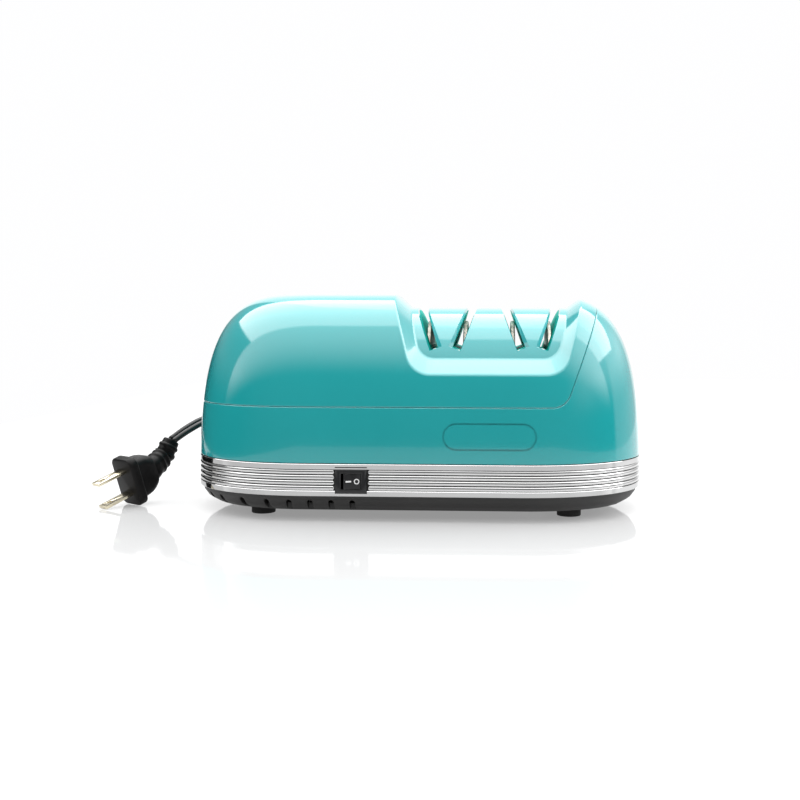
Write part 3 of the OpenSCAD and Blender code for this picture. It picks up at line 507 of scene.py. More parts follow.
# the form's front half from its chart
def onForm(u, t, inset=0.0):
    a, b, z = ringAt(t, inset)
    s = shell["straight"]
    turn = np.clip((np.abs(u) - s) / shell["endTurn"], 0, 1) * math.pi / 2
    e = 2 / shell["power"]
    x = np.where(np.abs(u) <= s, u, np.sign(u) * (s + (a - s) * np.sin(turn) ** e))
    y = -b * np.where(np.abs(u) <= s, 1.0, np.clip(np.cos(turn), 0, 1) ** e)
    y = np.where(np.abs(u) >= s + shell["endTurn"] - 1e-9, 0.0, y)
    return np.stack([x, y, z + 0 * x], -1)


# chart place of points on the form's front half
def chartOf(p, inset=0.0):
    x, y, z = p[:, 0], -p[:, 1], p[:, 2]
    t = tAt(z, inset)
    s, n = shell["straight"], shell["power"]
    onCap = z >= crownAt(inset) - 1e-6
    near, far = np.ones(len(x)), np.full(len(x), 2.0)
    for _ in range(40):
        mid = (near + far) / 2
        a, b, _ = ringAt(mid, inset)
        outside = (np.maximum(np.abs(x) - s, 0) / (a - s)) ** n + (y / np.maximum(b, 1e-9)) ** n > 1
        near, far = np.where(outside, near, mid), np.where(outside, mid, far)
    t = np.where(onCap, near, t)
    a, b, _ = ringAt(t, inset)
    over = np.clip((np.abs(x) - s) / (a - s), 0, 1) ** (shell["power"] / 2)
    fore = np.clip(y / np.maximum(b, 1e-9), 0, 1) ** (shell["power"] / 2)
    u = np.where(np.abs(x) <= s, x, np.sign(x) * (s + shell["endTurn"] * np.arctan2(over, fore) / (math.pi / 2)))
    return np.stack([u, t], 1)


def formNormal(p, inset=0.0):
    x, y, z = p[:, 0], p[:, 1], p[:, 2]
    t = tAt(z, inset)
    a, b, _ = ringAt(t, inset)
    h = 1e-4
    aT = (ringAt(np.clip(t + h, 0, 1), inset)[0] - ringAt(np.clip(t - h, 0, 1), inset)[0]) / (2 * h)
    bT = (ringAt(np.clip(t + h, 0, 1), inset)[1] - ringAt(np.clip(t - h, 0, 1), inset)[1]) / (2 * h)
    zT = (ringAt(np.clip(t + h, 0, 1), inset)[2] - ringAt(np.clip(t - h, 0, 1), inset)[2]) / (2 * h)
    n, s = shell["power"], shell["straight"]
    over = np.clip((np.abs(x) - s) / (a - s), 0, 1.0001)
    fore = np.clip(np.abs(y) / b, 0, 1.0001)
    nx = np.where(np.abs(x) > s, n * over ** (n - 1) / (a - s), 0) * np.sign(x) * zT
    ny = n * fore ** (n - 1) / b * np.sign(y) * zT
    nz = -n * (over ** n / (a - s) * aT + fore ** n / b * bT)
    normal = np.stack([nx, ny, nz], 1)
    flat = z >= crownAt(inset) - 1e-6
    normal[flat] = (0, 0, 1)
    return unitRows(normal)


# where a plane that contains the depth axis meets the form, seen at angles phi from the level
def inPlane(xOfZ, phi, inset):
    low, high = np.zeros_like(phi), np.full_like(phi, 130.0)
    for _ in range(60):
        mid = (low + high) / 2
        z, y = shell["axisZ"] + mid * np.sin(phi), mid * np.cos(phi)
        x = xOfZ(z)
        a = ringAt(tAt(z, inset), inset)[0]
        inside = (z < crownAt(inset)) & (np.abs(x) < a) & (y < frontY(x, z, inset))
        low, high = np.where(inside, mid, low), np.where(inside, high, mid)
    z, y = shell["axisZ"] + low * np.sin(phi), low * np.cos(phi)
    y[-1] = 0.0
    return np.stack([xOfZ(z), -y, z], 1)


# a run in that plane from a start point on the front up to the crown
def upTo(xOfZ, start, inset, count):
    phi = math.atan2(start[2] - shell["axisZ"], -start[1])
    return inPlane(xOfZ, np.linspace(phi, math.pi / 2, count + 1), inset)


def onFront(x, z, inset=0.0):
    x, z = np.broadcast_arrays(np.asarray(x, float), np.asarray(z, float))
    return np.stack([x, -frontY(x, z, inset), z], -1)


# one loop of the recess, from the crown down the left, along the bottom and up the right
def recessRow(step, inset, counts=(12, 26, 44)):
    corner, bottom, side = counts
    z0 = recess["rimZ"] + (recess["floorZ"] - recess["rimZ"]) * step
    half = recess["half"] + 1.5 * (1 - step)
    r = recess["r"] + 3 * (1 - step)
    lean = math.tan(math.radians(recess["side"]))
    w = np.radians(np.linspace(0, 90 - recess["side"], corner + 1))
    arcX, arcZ = half + r * np.sin(w), z0 + r * (1 - np.cos(w))
    arc = {s: onFront(recess["x"] + s * arcX, arcZ, inset) for s in (-1, 1)}
    rise = {s: upTo(lambda z, s=s: recess["x"] + s * (arcX[-1] + (z - arcZ[-1]) * lean), arc[s][-1], inset, side)
            for s in (-1, 1)}
    base = onFront(recess["x"] + np.linspace(-half, half, bottom + 1), z0, inset)
    return np.vstack([rise[-1][::-1], arc[-1][::-1][1:], base[1:], arc[1][1:], rise[1][1:]])


# step and depth down the bevel, rounded where it leaves the surface and where it meets the floor
def bevelStations():
    m, deep = recess["rounding"], recess["depth"]
    q = np.linspace(0, 1, 6)[:, None]

    def bend(p0, p1, p2):
        return (1 - q) ** 2 * np.array(p0) + 2 * q * (1 - q) * np.array(p1) + q * q * np.array(p2)

    top = bend((-m, 0), (0, 0), (m, m * deep))
    low = bend((1 - m, (1 - m) * deep), (1, deep), (1 + m, deep))
    return np.vstack([top, [(0.5, 0.5 * deep)], low])


def gridFaces(rows, columns, start=0):
    return [(start + i * columns + j, start + i * columns + j + 1, start + (i + 1) * columns + j + 1,
             start + (i + 1) * columns + j) for i in range(rows - 1) for j in range(columns - 1)]


def gridNormals(grid):
    down, along = np.gradient(grid, axis=0), np.gradient(grid, axis=1)
    normal = unitRows(np.cross(down, along))
    outward = formNormal(grid.reshape(-1, 3)).reshape(grid.shape)
    normal *= np.sign((normal * outward).sum(-1, keepdims=True))
    return normal


# the edge of one knife slot on the form, from the crown down one wall and up the other; with the
# chamfer, the wall beside the guide block leans away from the slot
def slotRow(stage, side, chamfer, inset, counts=(3, 36)):
    bottom, rise = counts
    w = math.radians(slots["tilt"])
    baseX, baseZ = stage + side * slots["halfGap"], slots["floorZ"]
    half = slots["wide"] / 2
    top = crownAt(inset)

    def foot(sign):
        wide = half
        if chamfer:
            wide += slots["chamferLow"] if sign == -side else slots["edge"]
        low = slots["edge"] if chamfer else 0.0
        x = baseX + sign * wide * math.cos(w) - side * low * math.sin(w)
        z = baseZ - sign * side * wide * math.sin(w) - low * math.cos(w)
        return x, z

    def wallX(sign):
        x0, z0 = foot(sign)
        lean = side * math.tan(w)
        if chamfer and sign == -side:
            lean -= sign * (slots["chamferLow"] - slots["chamferTop"]) / math.cos(w) / (top - z0)
        return lambda z: x0 + (z - z0) * lean

    left, right = (onFront(*foot(s), inset) for s in (-1, 1))
    share = np.linspace(0, 1, bottom + 1)
    base = onFront(left[0] + (right[0] - left[0]) * share, left[2] + (right[2] - left[2]) * share, inset)
    up = {s: upTo(wallX(s), c, inset, rise) for s, c in ((-1, left), (1, right))}
    return np.vstack([up[-1][::-1], base[1:], up[1][1:]]), rise


# which points lie inside a closed loop of the chart
def inLoop(points, loop):
    inside = np.zeros(len(points), bool)
    x, y = points[:, 0], points[:, 1]
    for (x0, y0), (x1, y1) in zip(loop, np.roll(loop, -1, axis=0)):
        if y0 == y1:
            continue
        hit = (y0 > y) != (y1 > y)
        inside ^= hit & (x < (x1 - x0) * (y - y0) / (y1 - y0) + x0)
    return inside


capScale = 10.0
chartScale = 110.0


# chart places in even units
def flatChart(chart):
    t = chart[:, 1]
    return np.stack([chart[:, 0], np.where(t <= 1, t * chartScale, chartScale + (t - 1) * capScale)], 1)


def unflat(flat):
    v = flat[:, 1]
    return flat[:, 0], np.where(v <= chartScale, v / chartScale, 1 + (v - chartScale) / capScale)


def farFrom(points, lines, gap):
    keep = np.ones(len(points), bool)
    for line in lines:
        for p, q in zip(line[:-1], line[1:]):
            d = q - p
            share = np.clip(((points - p) @ d) / max(d @ d, 1e-12), 0, 1)
            keep &= np.linalg.norm(points - p - share[:, None] * d, axis=1) > gap
    return keep


# triangles over the whole chart that keep to the given lines
def meshChart(lines, places, inset, across, up, gap):
    uu, vv = np.meshgrid(across, up)
    lattice = np.stack([uu.ravel(), vv.ravel()], 1)
    lattice = lattice[farFrom(lattice, lines, gap)]
    start, edges, flat, exact = len(lattice), [], [lattice], [np.full((len(lattice), 3), np.nan)]
    for line, place in zip(lines, places):
        edges += [(start + i, start + i + 1) for i in range(len(line) - 1)]
        flat.append(line)
        exact.append(place)
        start += len(line)
    flat, exact = np.vstack(flat), np.vstack(exact)
    made = delaunay_2d_cdt([Vector(p) for p in flat], edges, [], 0, 1e-6)
    out = np.array([tuple(p) for p in made[0]])
    triangles = np.array([f for f in made[2]])
    u, t = unflat(out)
    points = onForm(u, t, inset)
    for i, origins in enumerate(made[3]):
        for o in origins:
            if not np.isnan(exact[o, 0]):
                points[i] = exact[o]
    return out, points, triangles


# flat is 0 for a smooth surface, 1 for a slot's walls and 2 for a crisp edge
def part(points, normals, faces, flat=0):
    return {"points": points, "normals": normals, "faces": [tuple(f) for f in faces], "flat": flat}


# only the points that the triangles use
def picked(points, normals, triangles):
    used = np.unique(triangles)
    place = np.full(len(points), -1)
    place[used] = np.arange(len(used))
    return part(points[used], normals[used], place[triangles])


# front half parts, mirrored to the back, merged where they meet
def joined(parts):
    points, normals, faces, flats = [], [], [], []
    start = 0
    for p in parts:
        for flip in (1, -1):
            turn = np.array([1, flip, 1])
            points.append(p["points"] * turn)
            normals.append(p["normals"] * turn)
            for f in p["faces"]:
                faces.append([start + i for i in f])
                flats.append(p["flat"])
            start += len(p["points"])
    points, normals = np.vstack(points) + 0.0, np.vstack(normals)
    key, first, back = np.unique(np.round(points, 4) + 0.0, axis=0, return_index=True, return_inverse=True)
    back = back.ravel()
    isFlat = np.ones(len(points), bool)
    for f, flat in zip(faces, flats):
        if not flat:
            isFlat[f] = False
    merged = np.zeros((len(key), 3))
    np.add.at(merged, back[~isFlat], normals[~isFlat])
    lone = np.linalg.norm(merged, axis=1) < 1e-9
    spare = np.zeros((len(key), 3))
    np.add.at(spare, back, normals)
    merged[lone] = spare[lone]
    merged = unitRows(merged)
    place, outFaces, outFlats = points[first], [], []
    for f, flat in zip(faces, flats):
        g = [int(back[i]) for i in f]
        g = [a for a, b in zip(g, g[1:] + g[:1]) if a != b]
        if len(g) < 3:
            continue
        p = place[g]
        area = np.cross(p[1] - p[0], p[2] - p[0]) + (np.cross(p[2] - p[0], p[3] - p[0]) if len(g) > 3 else 0)
        facing = normals[f].mean(0)
        if area @ facing < 0:
            g.reverse()
        outFaces.append(g)
        outFlats.append(flat)
    return place, merged, outFaces, outFlats


def faceAreas(points, faces):
    out = np.zeros((len(faces), 3))
    for i, f in enumerate(faces):
        p = points[f]
        out[i] = np.cross(p[1] - p[0], p[2] - p[0])
        if len(f) > 3:
            out[i] += np.cross(p[2] - p[0], p[3] - p[0])
    return out


# gives a skin its wall, with each open edge rolled over
def thickened(points, normals, faces, flats, wall, roll):
    areas = faceAreas(points, faces)
    push = np.zeros_like(points)
    for f, area in zip(faces, areas):
        push[f] += area
    push = unitRows(push)
    seen = {}
    for f in faces:
        for i, j in zip(f, f[1:] + f[:1]):
            seen[(i, j)] = True
    edges = [(i, j) for i, j in seen if (j, i) not in seen]
    out = np.zeros_like(points)
    for i, j in edges:
        side = np.cross(points[j] - points[i], normals[i] + normals[j])
        side /= max(np.linalg.norm(side), 1e-12)
        out[i] += side
        out[j] += side
    rim = sorted({i for e in edges for i in e})
    out[rim] = unitRows(out[rim])
    inner = points - wall * push
    inner[rim] = points[rim] + roll * out[rim] - wall * normals[rim]
    count = len(points)
    allPoints, allNormals = [points, inner], [normals, -push]
    rows = [{i: i for i in rim}]
    for k, a in enumerate((math.pi / 4, math.pi / 2)):
        base = 2 * count + k * len(rim)
        allPoints.append(points[rim] + roll * (out[rim] * math.sin(a) + normals[rim] * (math.cos(a) - 1)))
        allNormals.append(normals[rim] * math.cos(a) + out[rim] * math.sin(a))
        rows.append({v: base + n for n, v in enumerate(rim)})
    newFaces, newFlats = list(faces), list(flats)
    for f in faces:
        newFaces.append([count + i for i in reversed(f)])
        newFlats.append(1)
    for i, j in edges:
        for near, far in zip(rows[:-1], rows[1:]):
            newFaces.append([near[j], near[i], far[i], far[j]])
            newFlats.append(0)
        last = rows[-1]
        newFaces.append([last[j], last[i], count + i, count + j])
        newFlats.append(1)
    return np.vstack(allPoints), np.vstack(allNormals), newFaces, newFlats


def shellObject(name, skin, node):
    points, normals, faces, flats = thickened(*skin, shell["wall"], shell["roll"])
    piece = meshObject(name, points, faces, "teal_shell")
    # the slot walls and inner faces get slot_wall, a copy of the teal in a greener tone that is painted shade
    piece.data.materials.append(finishes["slot_wall"])
    piece.data.polygons.foreach_set("material_index", [int(flat == 1) for flat in flats])
    areas = unitRows(faceAreas(points, faces))
    loops = []
    for f, flat, area in zip(faces, flats, areas):
        loops += [tuple(area)] * len(f) if flat else [tuple(normals[i]) for i in f]
    piece.data.normals_split_custom_set(loops)
    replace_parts(piece, node)
    return piece


# the line where the two mouldings meet, moved by grow towards the cover
def partingLine(grow, steps=8):
    turn = math.radians(90 - shell["partingLean"])
    startX = shell["partingX"] - shell["partingR"] * math.tan(turn / 2)
    r = shell["partingR"] - grow
    midZ = shell["partingZ"] + shell["partingR"]
    level = midZ - r
    t = float(tAt(level))
    end = shell["straight"] + shell["endTurn"]
    u = np.concatenate([np.linspace(-end, -shell["straight"], 32),
                        np.linspace(-shell["straight"], shell["straight"], 24)[1:]])
    start = chartOf(onFront([startX], [level]))[0, 0]
    u = np.concatenate([u, np.linspace(shell["straight"], start, 6)[1:-1]])
    run = onForm(u, np.full(len(u), t))
    w = np.linspace(0, turn, steps + 1)
    arc = onFront(startX + r * np.sin(w), midZ - r * np.cos(w))
    slope = math.tan(math.radians(shell["partingLean"]))
    rise = upTo(lambda z: arc[-1][0] + (z - arc[-1][2]) * slope, arc[-1], 0.0, 34)
    return np.vstack([run, arc, rise[1:]])


badge = {"x": 37.4, "z": 41.5, "half": 16.0, "r": 6.2, "wide": 0.5, "deep": 0.6}


# racetrack outline pressed into the front
def badgeLoop(r, sink):
    w = np.radians(np.linspace(-90, 90, 15))
    right = np.stack([badge["half"] + r * np.cos(w), r * np.sin(w)], 1)
    middle = np.stack([np.linspace(badge["half"], -badge["half"], 13)[1:-1], np.full(11, r)], 1)
    loop = np.vstack([right, middle])
    loop = np.vstack([loop, -loop])
    loop = np.vstack([loop, loop[:1]])
    face = onFront(badge["x"] + loop[:, 0], badge["z"] + loop[:, 1])
    return face, face - sink * formNormal(face)


def makeShells():
    row0 = bevelStations()
    rows = np.array([recessRow(e, d) for e, d in row0])
    normals = gridNormals(rows)
    normals[0] = formNormal(rows[0])
    normals[-1] = formNormal(rows[-1], recess["depth"])
    for end in (0, -1):
        normals[:, end, 1] = 0
    ribbon = part(rows.reshape(-1, 3), unitRows(normals).reshape(-1, 3), gridFaces(*rows.shape[:2]))
    end = shell["straight"] + shell["endTurn"]
    top = chartScale + capScale
    corner = np.array([[end, top]])

    # outer skin
    cut = flatChart(chartOf(rows[0]))
    cut[0, 1], cut[-1, 0] = top, end
    coverEdge, housingEdge = partingLine(shell["partingGap"]), partingLine(-shell["partingGap"])
    coverLine, housingLine = flatChart(chartOf(coverEdge)), flatChart(chartOf(housingEdge))
    for line in (coverLine, housingLine):
        line[0, 0], line[-1, 0] = -end, end
    badgeRows = [badgeLoop(badge["r"] + badge["wide"], 0), badgeLoop(badge["r"] + badge["wide"] * 0.4, badge["deep"]),
                 badgeLoop(badge["r"] - badge["wide"] * 0.4, badge["deep"]), badgeLoop(badge["r"] - badge["wide"], 0)]
    badgeLines = [flatChart(chartOf(face)) for face, _ in badgeRows]
    across = np.concatenate([np.linspace(-end, -50, 31), np.linspace(-50, 50, 26)[1:-1], np.linspace(50, end, 31)])
    low = float(tAt(shell["low"] + shell["beltGap"])) * chartScale
    up = np.concatenate([np.linspace(low, chartScale, 49), chartScale + np.linspace(0, capScale, 4)[1:]])
    flat, points, triangles = meshChart(
        [cut, coverLine, housingLine, *badgeLines],
        [rows[0], coverEdge, housingEdge, *[sunk for _, sunk in badgeRows]], 0.0, across, up, 1.0)
    normal = formNormal(points)
    middle = flat[triangles].mean(1)
    recessArea = np.vstack([cut, corner])
    coverArea = np.vstack([coverLine, corner, [[-end, top]]])
    housingArea = np.vstack([housingLine, [[end, 0], [-end, 0]]])
    inCover = inLoop(middle, coverArea) & ~inLoop(middle, recessArea)
    inHousing = inLoop(middle, housingArea)
    outer = picked(points, normal, triangles[inCover])
    lower = picked(points, normal, triangles[inHousing])

    # floor of the recess with its slots
    deep = recess["depth"]
    floorCut = flatChart(chartOf(rows[-1], deep))
    floorCut[0, 1], floorCut[-1, 0] = top, end
    slotLines, slotParts, slotEdges = [], [], []
    for stage in slots["stages"]:
        for side in (-1, 1):
            edge, rise = slotRow(stage, side, True, deep)
            wall, _ = slotRow(stage, side, False, deep + slots["chamferDeep"])
            line = flatChart(chartOf(edge, deep))
            for at in (0, -1):
                if edge[at, 0] < shell["straight"]:
                    line[at, 1] = top
                else:
                    line[at, 0] = end
            slotLines.append(line)
            slotEdges.append(edge)
            slotParts += slotWalls(edge, wall, rise)
    across = np.concatenate([np.linspace(-8, 50, 40), np.linspace(50, end, 34)[1:]])
    up = np.concatenate([np.linspace(50, chartScale, 40), chartScale + np.linspace(0, capScale, 4)[1:]])
    flat, points, triangles = meshChart([floorCut, *slotLines], [rows[-1], *slotEdges], deep, across, up, 0.7)
    middle = flat[triangles].mean(1)
    keep = inLoop(middle, np.vstack([floorCut, corner]))
    for line in slotLines:
        keep &= ~inLoop(middle, line)
    floor = picked(points, formNormal(points, deep), triangles[keep])
    cover = shellObject("cover_moulding", joined([outer, ribbon, floor, *slotParts]), "upper_cover")
    housing = shellObject("housing_moulding", joined([lower]), "lower_housing")
    return cover, housing


# the flared edge of a slot, its two walls and its floor
def slotWalls(edge, wall, rise):
    count = len(edge)
    across = wall[-1] - wall[0]
    across[1] = 0
    across /= np.linalg.norm(across)
    inward = unitRows(np.vstack([np.tile(across, (rise, 1)), np.tile((0, 0, 1.0), (count - 2 * rise, 1)),
                                 np.tile(-across, (rise, 1))]))
    skin = formNormal(edge, recess["depth"])
    flare = part(np.vstack([edge, wall]), unitRows(np.vstack([skin + inward, skin + inward])),
                 gridFaces(2, count), 2)
    parts = [flare]
    lowLeft, lowRight = wall[rise], wall[count - 1 - rise]
    back = np.linspace(1, 0, rise + 1)[:, None]
    for run, low, facing in ((wall[:rise + 1][::-1], lowLeft, across), (wall[count - 1 - rise:], lowRight, -across)):
        foot = np.tile(low, (rise + 1, 1))
        foot[:, 1:2] = low[1] * back
        faces = gridFaces(2, rise + 1)
        parts.append(part(np.vstack([run, foot]), np.tile(facing, (2 * rise + 2, 1)), faces, 1))
    base = wall[rise:count - rise]
    rows = np.vstack([np.column_stack([base[:, 0], base[:, 1] * b, base[:, 2]]) for b in back[:, 0]])
    up = np.cross(across, (0, 1.0, 0))
    up *= np.sign(up[2])
    parts.append(part(rows, np.tile(up, (len(rows), 1)), gridFaces(rise + 1, len(base)), 1))
    return parts


coverPiece, housingPiece = makeShells()
print("shells made,", len(coverPiece.data.polygons), len(housingPiece.data.polygons), "faces")


belt = {
    "low": beltLow.z / mm, "high": beltHigh.z / mm, "flat": 2.6, "ribDepth": 0.7, "wall": 1.6, "edge": 0.15,
    "ribs": 4, "ribProud": 0.72, "ribGap": 0.3, "endRound": 1.1, "slit": (1.3, 1.75, 0.5),
}
bezelLow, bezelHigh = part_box("switch_body")
opening = {"x": (bezelLow.x / mm - 0.15, bezelHigh.x / mm + 0.15), "low": bezelLow.z / mm - 0.15,
           "high": belt["high"] - belt["flat"] + belt["edge"]}


# chart places round the belt, anticlockwise from the middle of the front
def beltPlaces(steps=34):
    left, right = opening["x"]
    slit = 0.05
    end = shell["straight"] + shell["endTurn"]
    bend = np.linspace(shell["straight"], end, steps + 1)
    front = [np.linspace(0, shell["straight"], 10), bend[1:], bend[::-1][1:],
             np.linspace(shell["straight"], -shell["straight"], 16)[1:], -bend[1:], -bend[::-1][1:],
             np.linspace(-shell["straight"], left, 4)[1:], [left + slit], np.linspace(left + 1, right - 1, 5),
             [right - slit], np.linspace(right, 0, 5)[:-1]]
    back = [0, 0, 1, 1, 1, 0, 0, 0, 0, 0, 0]
    u = np.concatenate(front)
    side = np.concatenate([np.full(len(run), 1.0 if b else -1.0) for run, b in zip(front, back)])
    side[10:10 + steps] = -1
    return u, side


def beltPoint(u, side, inset, z):
    a, b, s = shell["halfW"] - inset, shell["halfD"] - inset, shell["straight"]
    turn = np.clip((np.abs(u) - s) / shell["endTurn"], 0, 1) * math.pi / 2
    e = 2 / shell["power"]
    x = np.where(np.abs(u) <= s, u, np.sign(u) * (s + (a - s) * np.sin(turn) ** e))
    y = side * b * np.where(np.abs(u) <= s, 1.0, np.clip(np.cos(turn), 0, 1) ** e)
    y = np.where(np.abs(np.abs(u) - s - shell["endTurn"]) < 1e-9, 0.0, y)
    return np.stack([x, y, np.full(len(x), z)], 1)


def makeBeltBand():
    low, high, e, deep = belt["low"], belt["high"], belt["edge"], belt["ribDepth"]
    slitLow, slitHigh, slitDeep = high - belt["slit"][1], high - belt["slit"][0], belt["slit"][2]
    rows = [(low, e), (low + e, 0), (opening["low"], 0), (low + belt["flat"] - e, 0), (low + belt["flat"], e),
            (low + belt["flat"] + 0.05, deep), (high - belt["flat"] - 0.05, deep), (high - belt["flat"], e),
            (opening["high"], 0), (slitLow, 0), (slitLow + 0.05, -1), (slitHigh - 0.05, -1), (slitHigh, 0),
            (high - e, 0), (high, e), (high, belt["wall"]), (opening["high"], belt["wall"]),
            (opening["low"], belt["wall"]), (low, belt["wall"])]
    u, side = beltPlaces()
    left, right = opening["x"]
    count = len(u)
    inSlit = (side < 0) & (u > left + 0.01) & (u < right - 0.01)
    points = []
    for z, inset in rows:
        ring = beltPoint(u, side, max(inset, 0), z)
        if inset < 0:
            sunk = beltPoint(u, side, slitDeep, z)
            ring[inSlit] = sunk[inSlit]
        points.append(ring)
    middle = (u + np.roll(u, -1)) / 2
    inOpening = (side < 0) & (np.roll(side, -1) < 0) & (middle > left) & (middle < right)
    # the groove floor row and the slit rows get groove_shade, painted shade where the belt's recesses fall dark
    grooveRow, slitRows, shades = 5, (9, 10, 11), []
    outerLow, outerHigh, innerHigh, innerLow = 2, 8, 16, 17
    faces = []
    for i in range(len(rows)):
        k = (i + 1) % len(rows)
        for j in range(count):
            if inOpening[j] and (outerLow <= i < outerHigh or innerHigh <= i < innerLow):
                continue
            n = (j + 1) % count
            faces.append((i * count + j, i * count + n, k * count + n, k * count + j))
            shades.append(int(i == grooveRow or (i in slitRows and inSlit[j] and inSlit[n])))
    columns = [j for j in range(count) if inOpening[j]]
    for j in columns:
        n = (j + 1) % count
        faces.append((outerLow * count + j, outerLow * count + n, innerLow * count + n, innerLow * count + j))
        faces.append((outerHigh * count + j, outerHigh * count + n, innerHigh * count + n, innerHigh * count + j))
    for j in (columns[0], (columns[-1] + 1) % count):
        faces.append(tuple(i * count + j for i in range(outerLow, outerHigh + 1))
                     + (innerHigh * count + j, innerLow * count + j))
    piece = meshObject("belt_band", np.vstack(points), faces, "chrome_trim")
    piece.data.materials.append(finishes["groove_shade"])
    piece.data.polygons.foreach_set("material_index", shades + [0] * (len(faces) - len(shades)))
    facingOut(piece.data)
    smoothByAngle(piece.data, 25)
    return piece


# bars along a path, one above the other, rounded off at their ends
def ribTree():
    tree = bpy.data.node_groups.new("beltRibs", "GeometryNodeTree")
    io = tree.interface
    io.new_socket("Geometry", in_out="INPUT", socket_type="NodeSocketGeometry")
    for name, kind in (("Rib count", "NodeSocketInt"), ("Rib pitch", "NodeSocketFloat"),
                       ("Rib height", "NodeSocketFloat"), ("Rib depth", "NodeSocketFloat"),
                       ("End rounding", "NodeSocketFloat"), ("Finish", "NodeSocketMaterial")):
        io.new_socket(name, in_out="INPUT", socket_type=kind)
    io.new_socket("Geometry", in_out="OUTPUT", socket_type="NodeSocketGeometry")
    add, link = tree.nodes.new, tree.links.new
    given, out = add("NodeGroupInput"), add("NodeGroupOutput")

    path = add("GeometryNodeMeshToCurve")
    link(given.outputs["Geometry"], path.inputs["Mesh"])
    upright = add("GeometryNodeSetCurveNormal")
    upright.mode = "Z_UP"
    link(path.outputs["Curve"], upright.inputs["Curve"])

    place = add("GeometryNodeSplineParameter")  # distance from the nearer end
    whole = add("GeometryNodeSplineLength")
    left = add("ShaderNodeMath")
    left.operation = "SUBTRACT"
    link(whole.outputs["Length"], left.inputs[0])
    link(place.outputs["Length"], left.inputs[1])
    nearer = add("ShaderNodeMath")
    nearer.operation = "MINIMUM"
    link(place.outputs["Length"], nearer.inputs[0])
    link(left.outputs[0], nearer.inputs[1])
    share = add("ShaderNodeMath")
    share.operation = "DIVIDE"
    share.use_clamp = True
    link(nearer.outputs[0], share.inputs[0])
    link(given.outputs["End rounding"], share.inputs[1])
    full = add("ShaderNodeMath")
    full.operation = "POWER"
    full.inputs[1].default_value = 0.5
    link(share.outputs[0], full.inputs[0])
    size = add("ShaderNodeMath")
    size.operation = "MAXIMUM"
    size.inputs[1].default_value = 0.04
    link(full.outputs[0], size.inputs[0])

    circle = add("GeometryNodeCurvePrimitiveCircle")
    circle.inputs["Resolution"].default_value = 20
    circle.inputs["Radius"].default_value = 1.0
    stretch = add("ShaderNodeCombineXYZ")
    link(given.outputs["Rib depth"], stretch.inputs["X"])
    link(given.outputs["Rib height"], stretch.inputs["Y"])
    stretch.inputs["Z"].default_value = 1.0
    section = add("GeometryNodeTransform")
    link(circle.outputs["Curve"], section.inputs["Geometry"])
    link(stretch.outputs["Vector"], section.inputs["Scale"])

    bar = add("GeometryNodeCurveToMesh")
    bar.inputs["Fill Caps"].default_value = True
    link(upright.outputs["Curve"], bar.inputs["Curve"])
    link(section.outputs["Geometry"], bar.inputs["Profile Curve"])
    link(size.outputs[0], bar.inputs["Scale"])

    step = add("ShaderNodeCombineXYZ")
    link(given.outputs["Rib pitch"], step.inputs["Z"])
    levels = add("GeometryNodeMeshLine")
    link(given.outputs["Rib count"], levels.inputs["Count"])
    link(step.outputs["Vector"], levels.inputs["Offset"])
    stack = add("GeometryNodeInstanceOnPoints")
    link(levels.outputs["Mesh"], stack.inputs["Points"])
    link(bar.outputs["Mesh"], stack.inputs["Instance"])
    real = add("GeometryNodeRealizeInstances")
    link(stack.outputs["Instances"], real.inputs["Geometry"])
    smooth = add("GeometryNodeSetShadeSmooth")
    link(real.outputs["Geometry"], smooth.inputs["Geometry"])
    finish = add("GeometryNodeSetMaterial")
    link(smooth.outputs["Geometry"], finish.inputs["Geometry"])
    link(given.outputs["Finish"], finish.inputs["Material"])
    link(finish.outputs["Geometry"], out.inputs["Geometry"])
    return tree


# gives a tree's named inputs their values by socket identifier
def setInputs(modifier, values):
    for item in modifier.node_group.interface.items_tree:
        if item.item_type == "SOCKET" and item.in_out == "INPUT" and item.name in values:
            modifier[item.identifier] = values[item.name]


def makeBeltRibs():
    pitch = (belt["high"] - belt["low"] - 2 * belt["flat"]) / belt["ribs"]
    left, right = opening["x"]
    u, side = beltPlaces(48)
    outside = (side > 0) | (u < left - 0.1) | (u > right + 0.1)
    turned = np.flatnonzero(~outside)
    order = np.roll(np.arange(len(u)), -(turned[-1] + 1))
    order = order[outside[order]]
    level = belt["low"] + belt["flat"] + pitch / 2
    run = beltPoint(u[order], side[order], belt["ribDepth"], level)
    front = shell["halfD"] - belt["ribDepth"]
    tips = [0.0, 0.05, 0.15, 0.35, 0.7, 1.1]
    head = [(right + t, -front, level) for t in tips]
    foot = [(left - t, -front, level) for t in reversed(tips)]
    keep = [p for p in run if not (left - 1.6 < p[0] < right + 1.6 and p[1] < 0)]
    line = np.array(head + keep + foot) * mm
    mesh = bpy.data.meshes.new("belt_ribs")
    mesh.from_pydata([tuple(p) for p in line], [(i, i + 1) for i in range(len(line) - 1)], [])
    piece = bpy.data.objects.new("belt_ribs", mesh)
    bpy.context.scene.collection.objects.link(piece)
    modifier = piece.modifiers.new("ribs", "NODES")
    modifier.node_group = ribTree()
    setInputs(modifier, {"Rib count": belt["ribs"], "Rib pitch": pitch * mm,
                         "Rib height": (pitch - belt["ribGap"]) / 2 * mm, "Rib depth": belt["ribProud"] * mm,
                         "End rounding": belt["endRound"] * mm, "Finish": finishes["chrome_trim"]})
    plainMesh(piece)
    return dressed(piece, "chrome_trim")


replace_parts(makeBeltBand(), "trim_belt")
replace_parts(makeBeltRibs(), "trim_belt")
print("belt made")


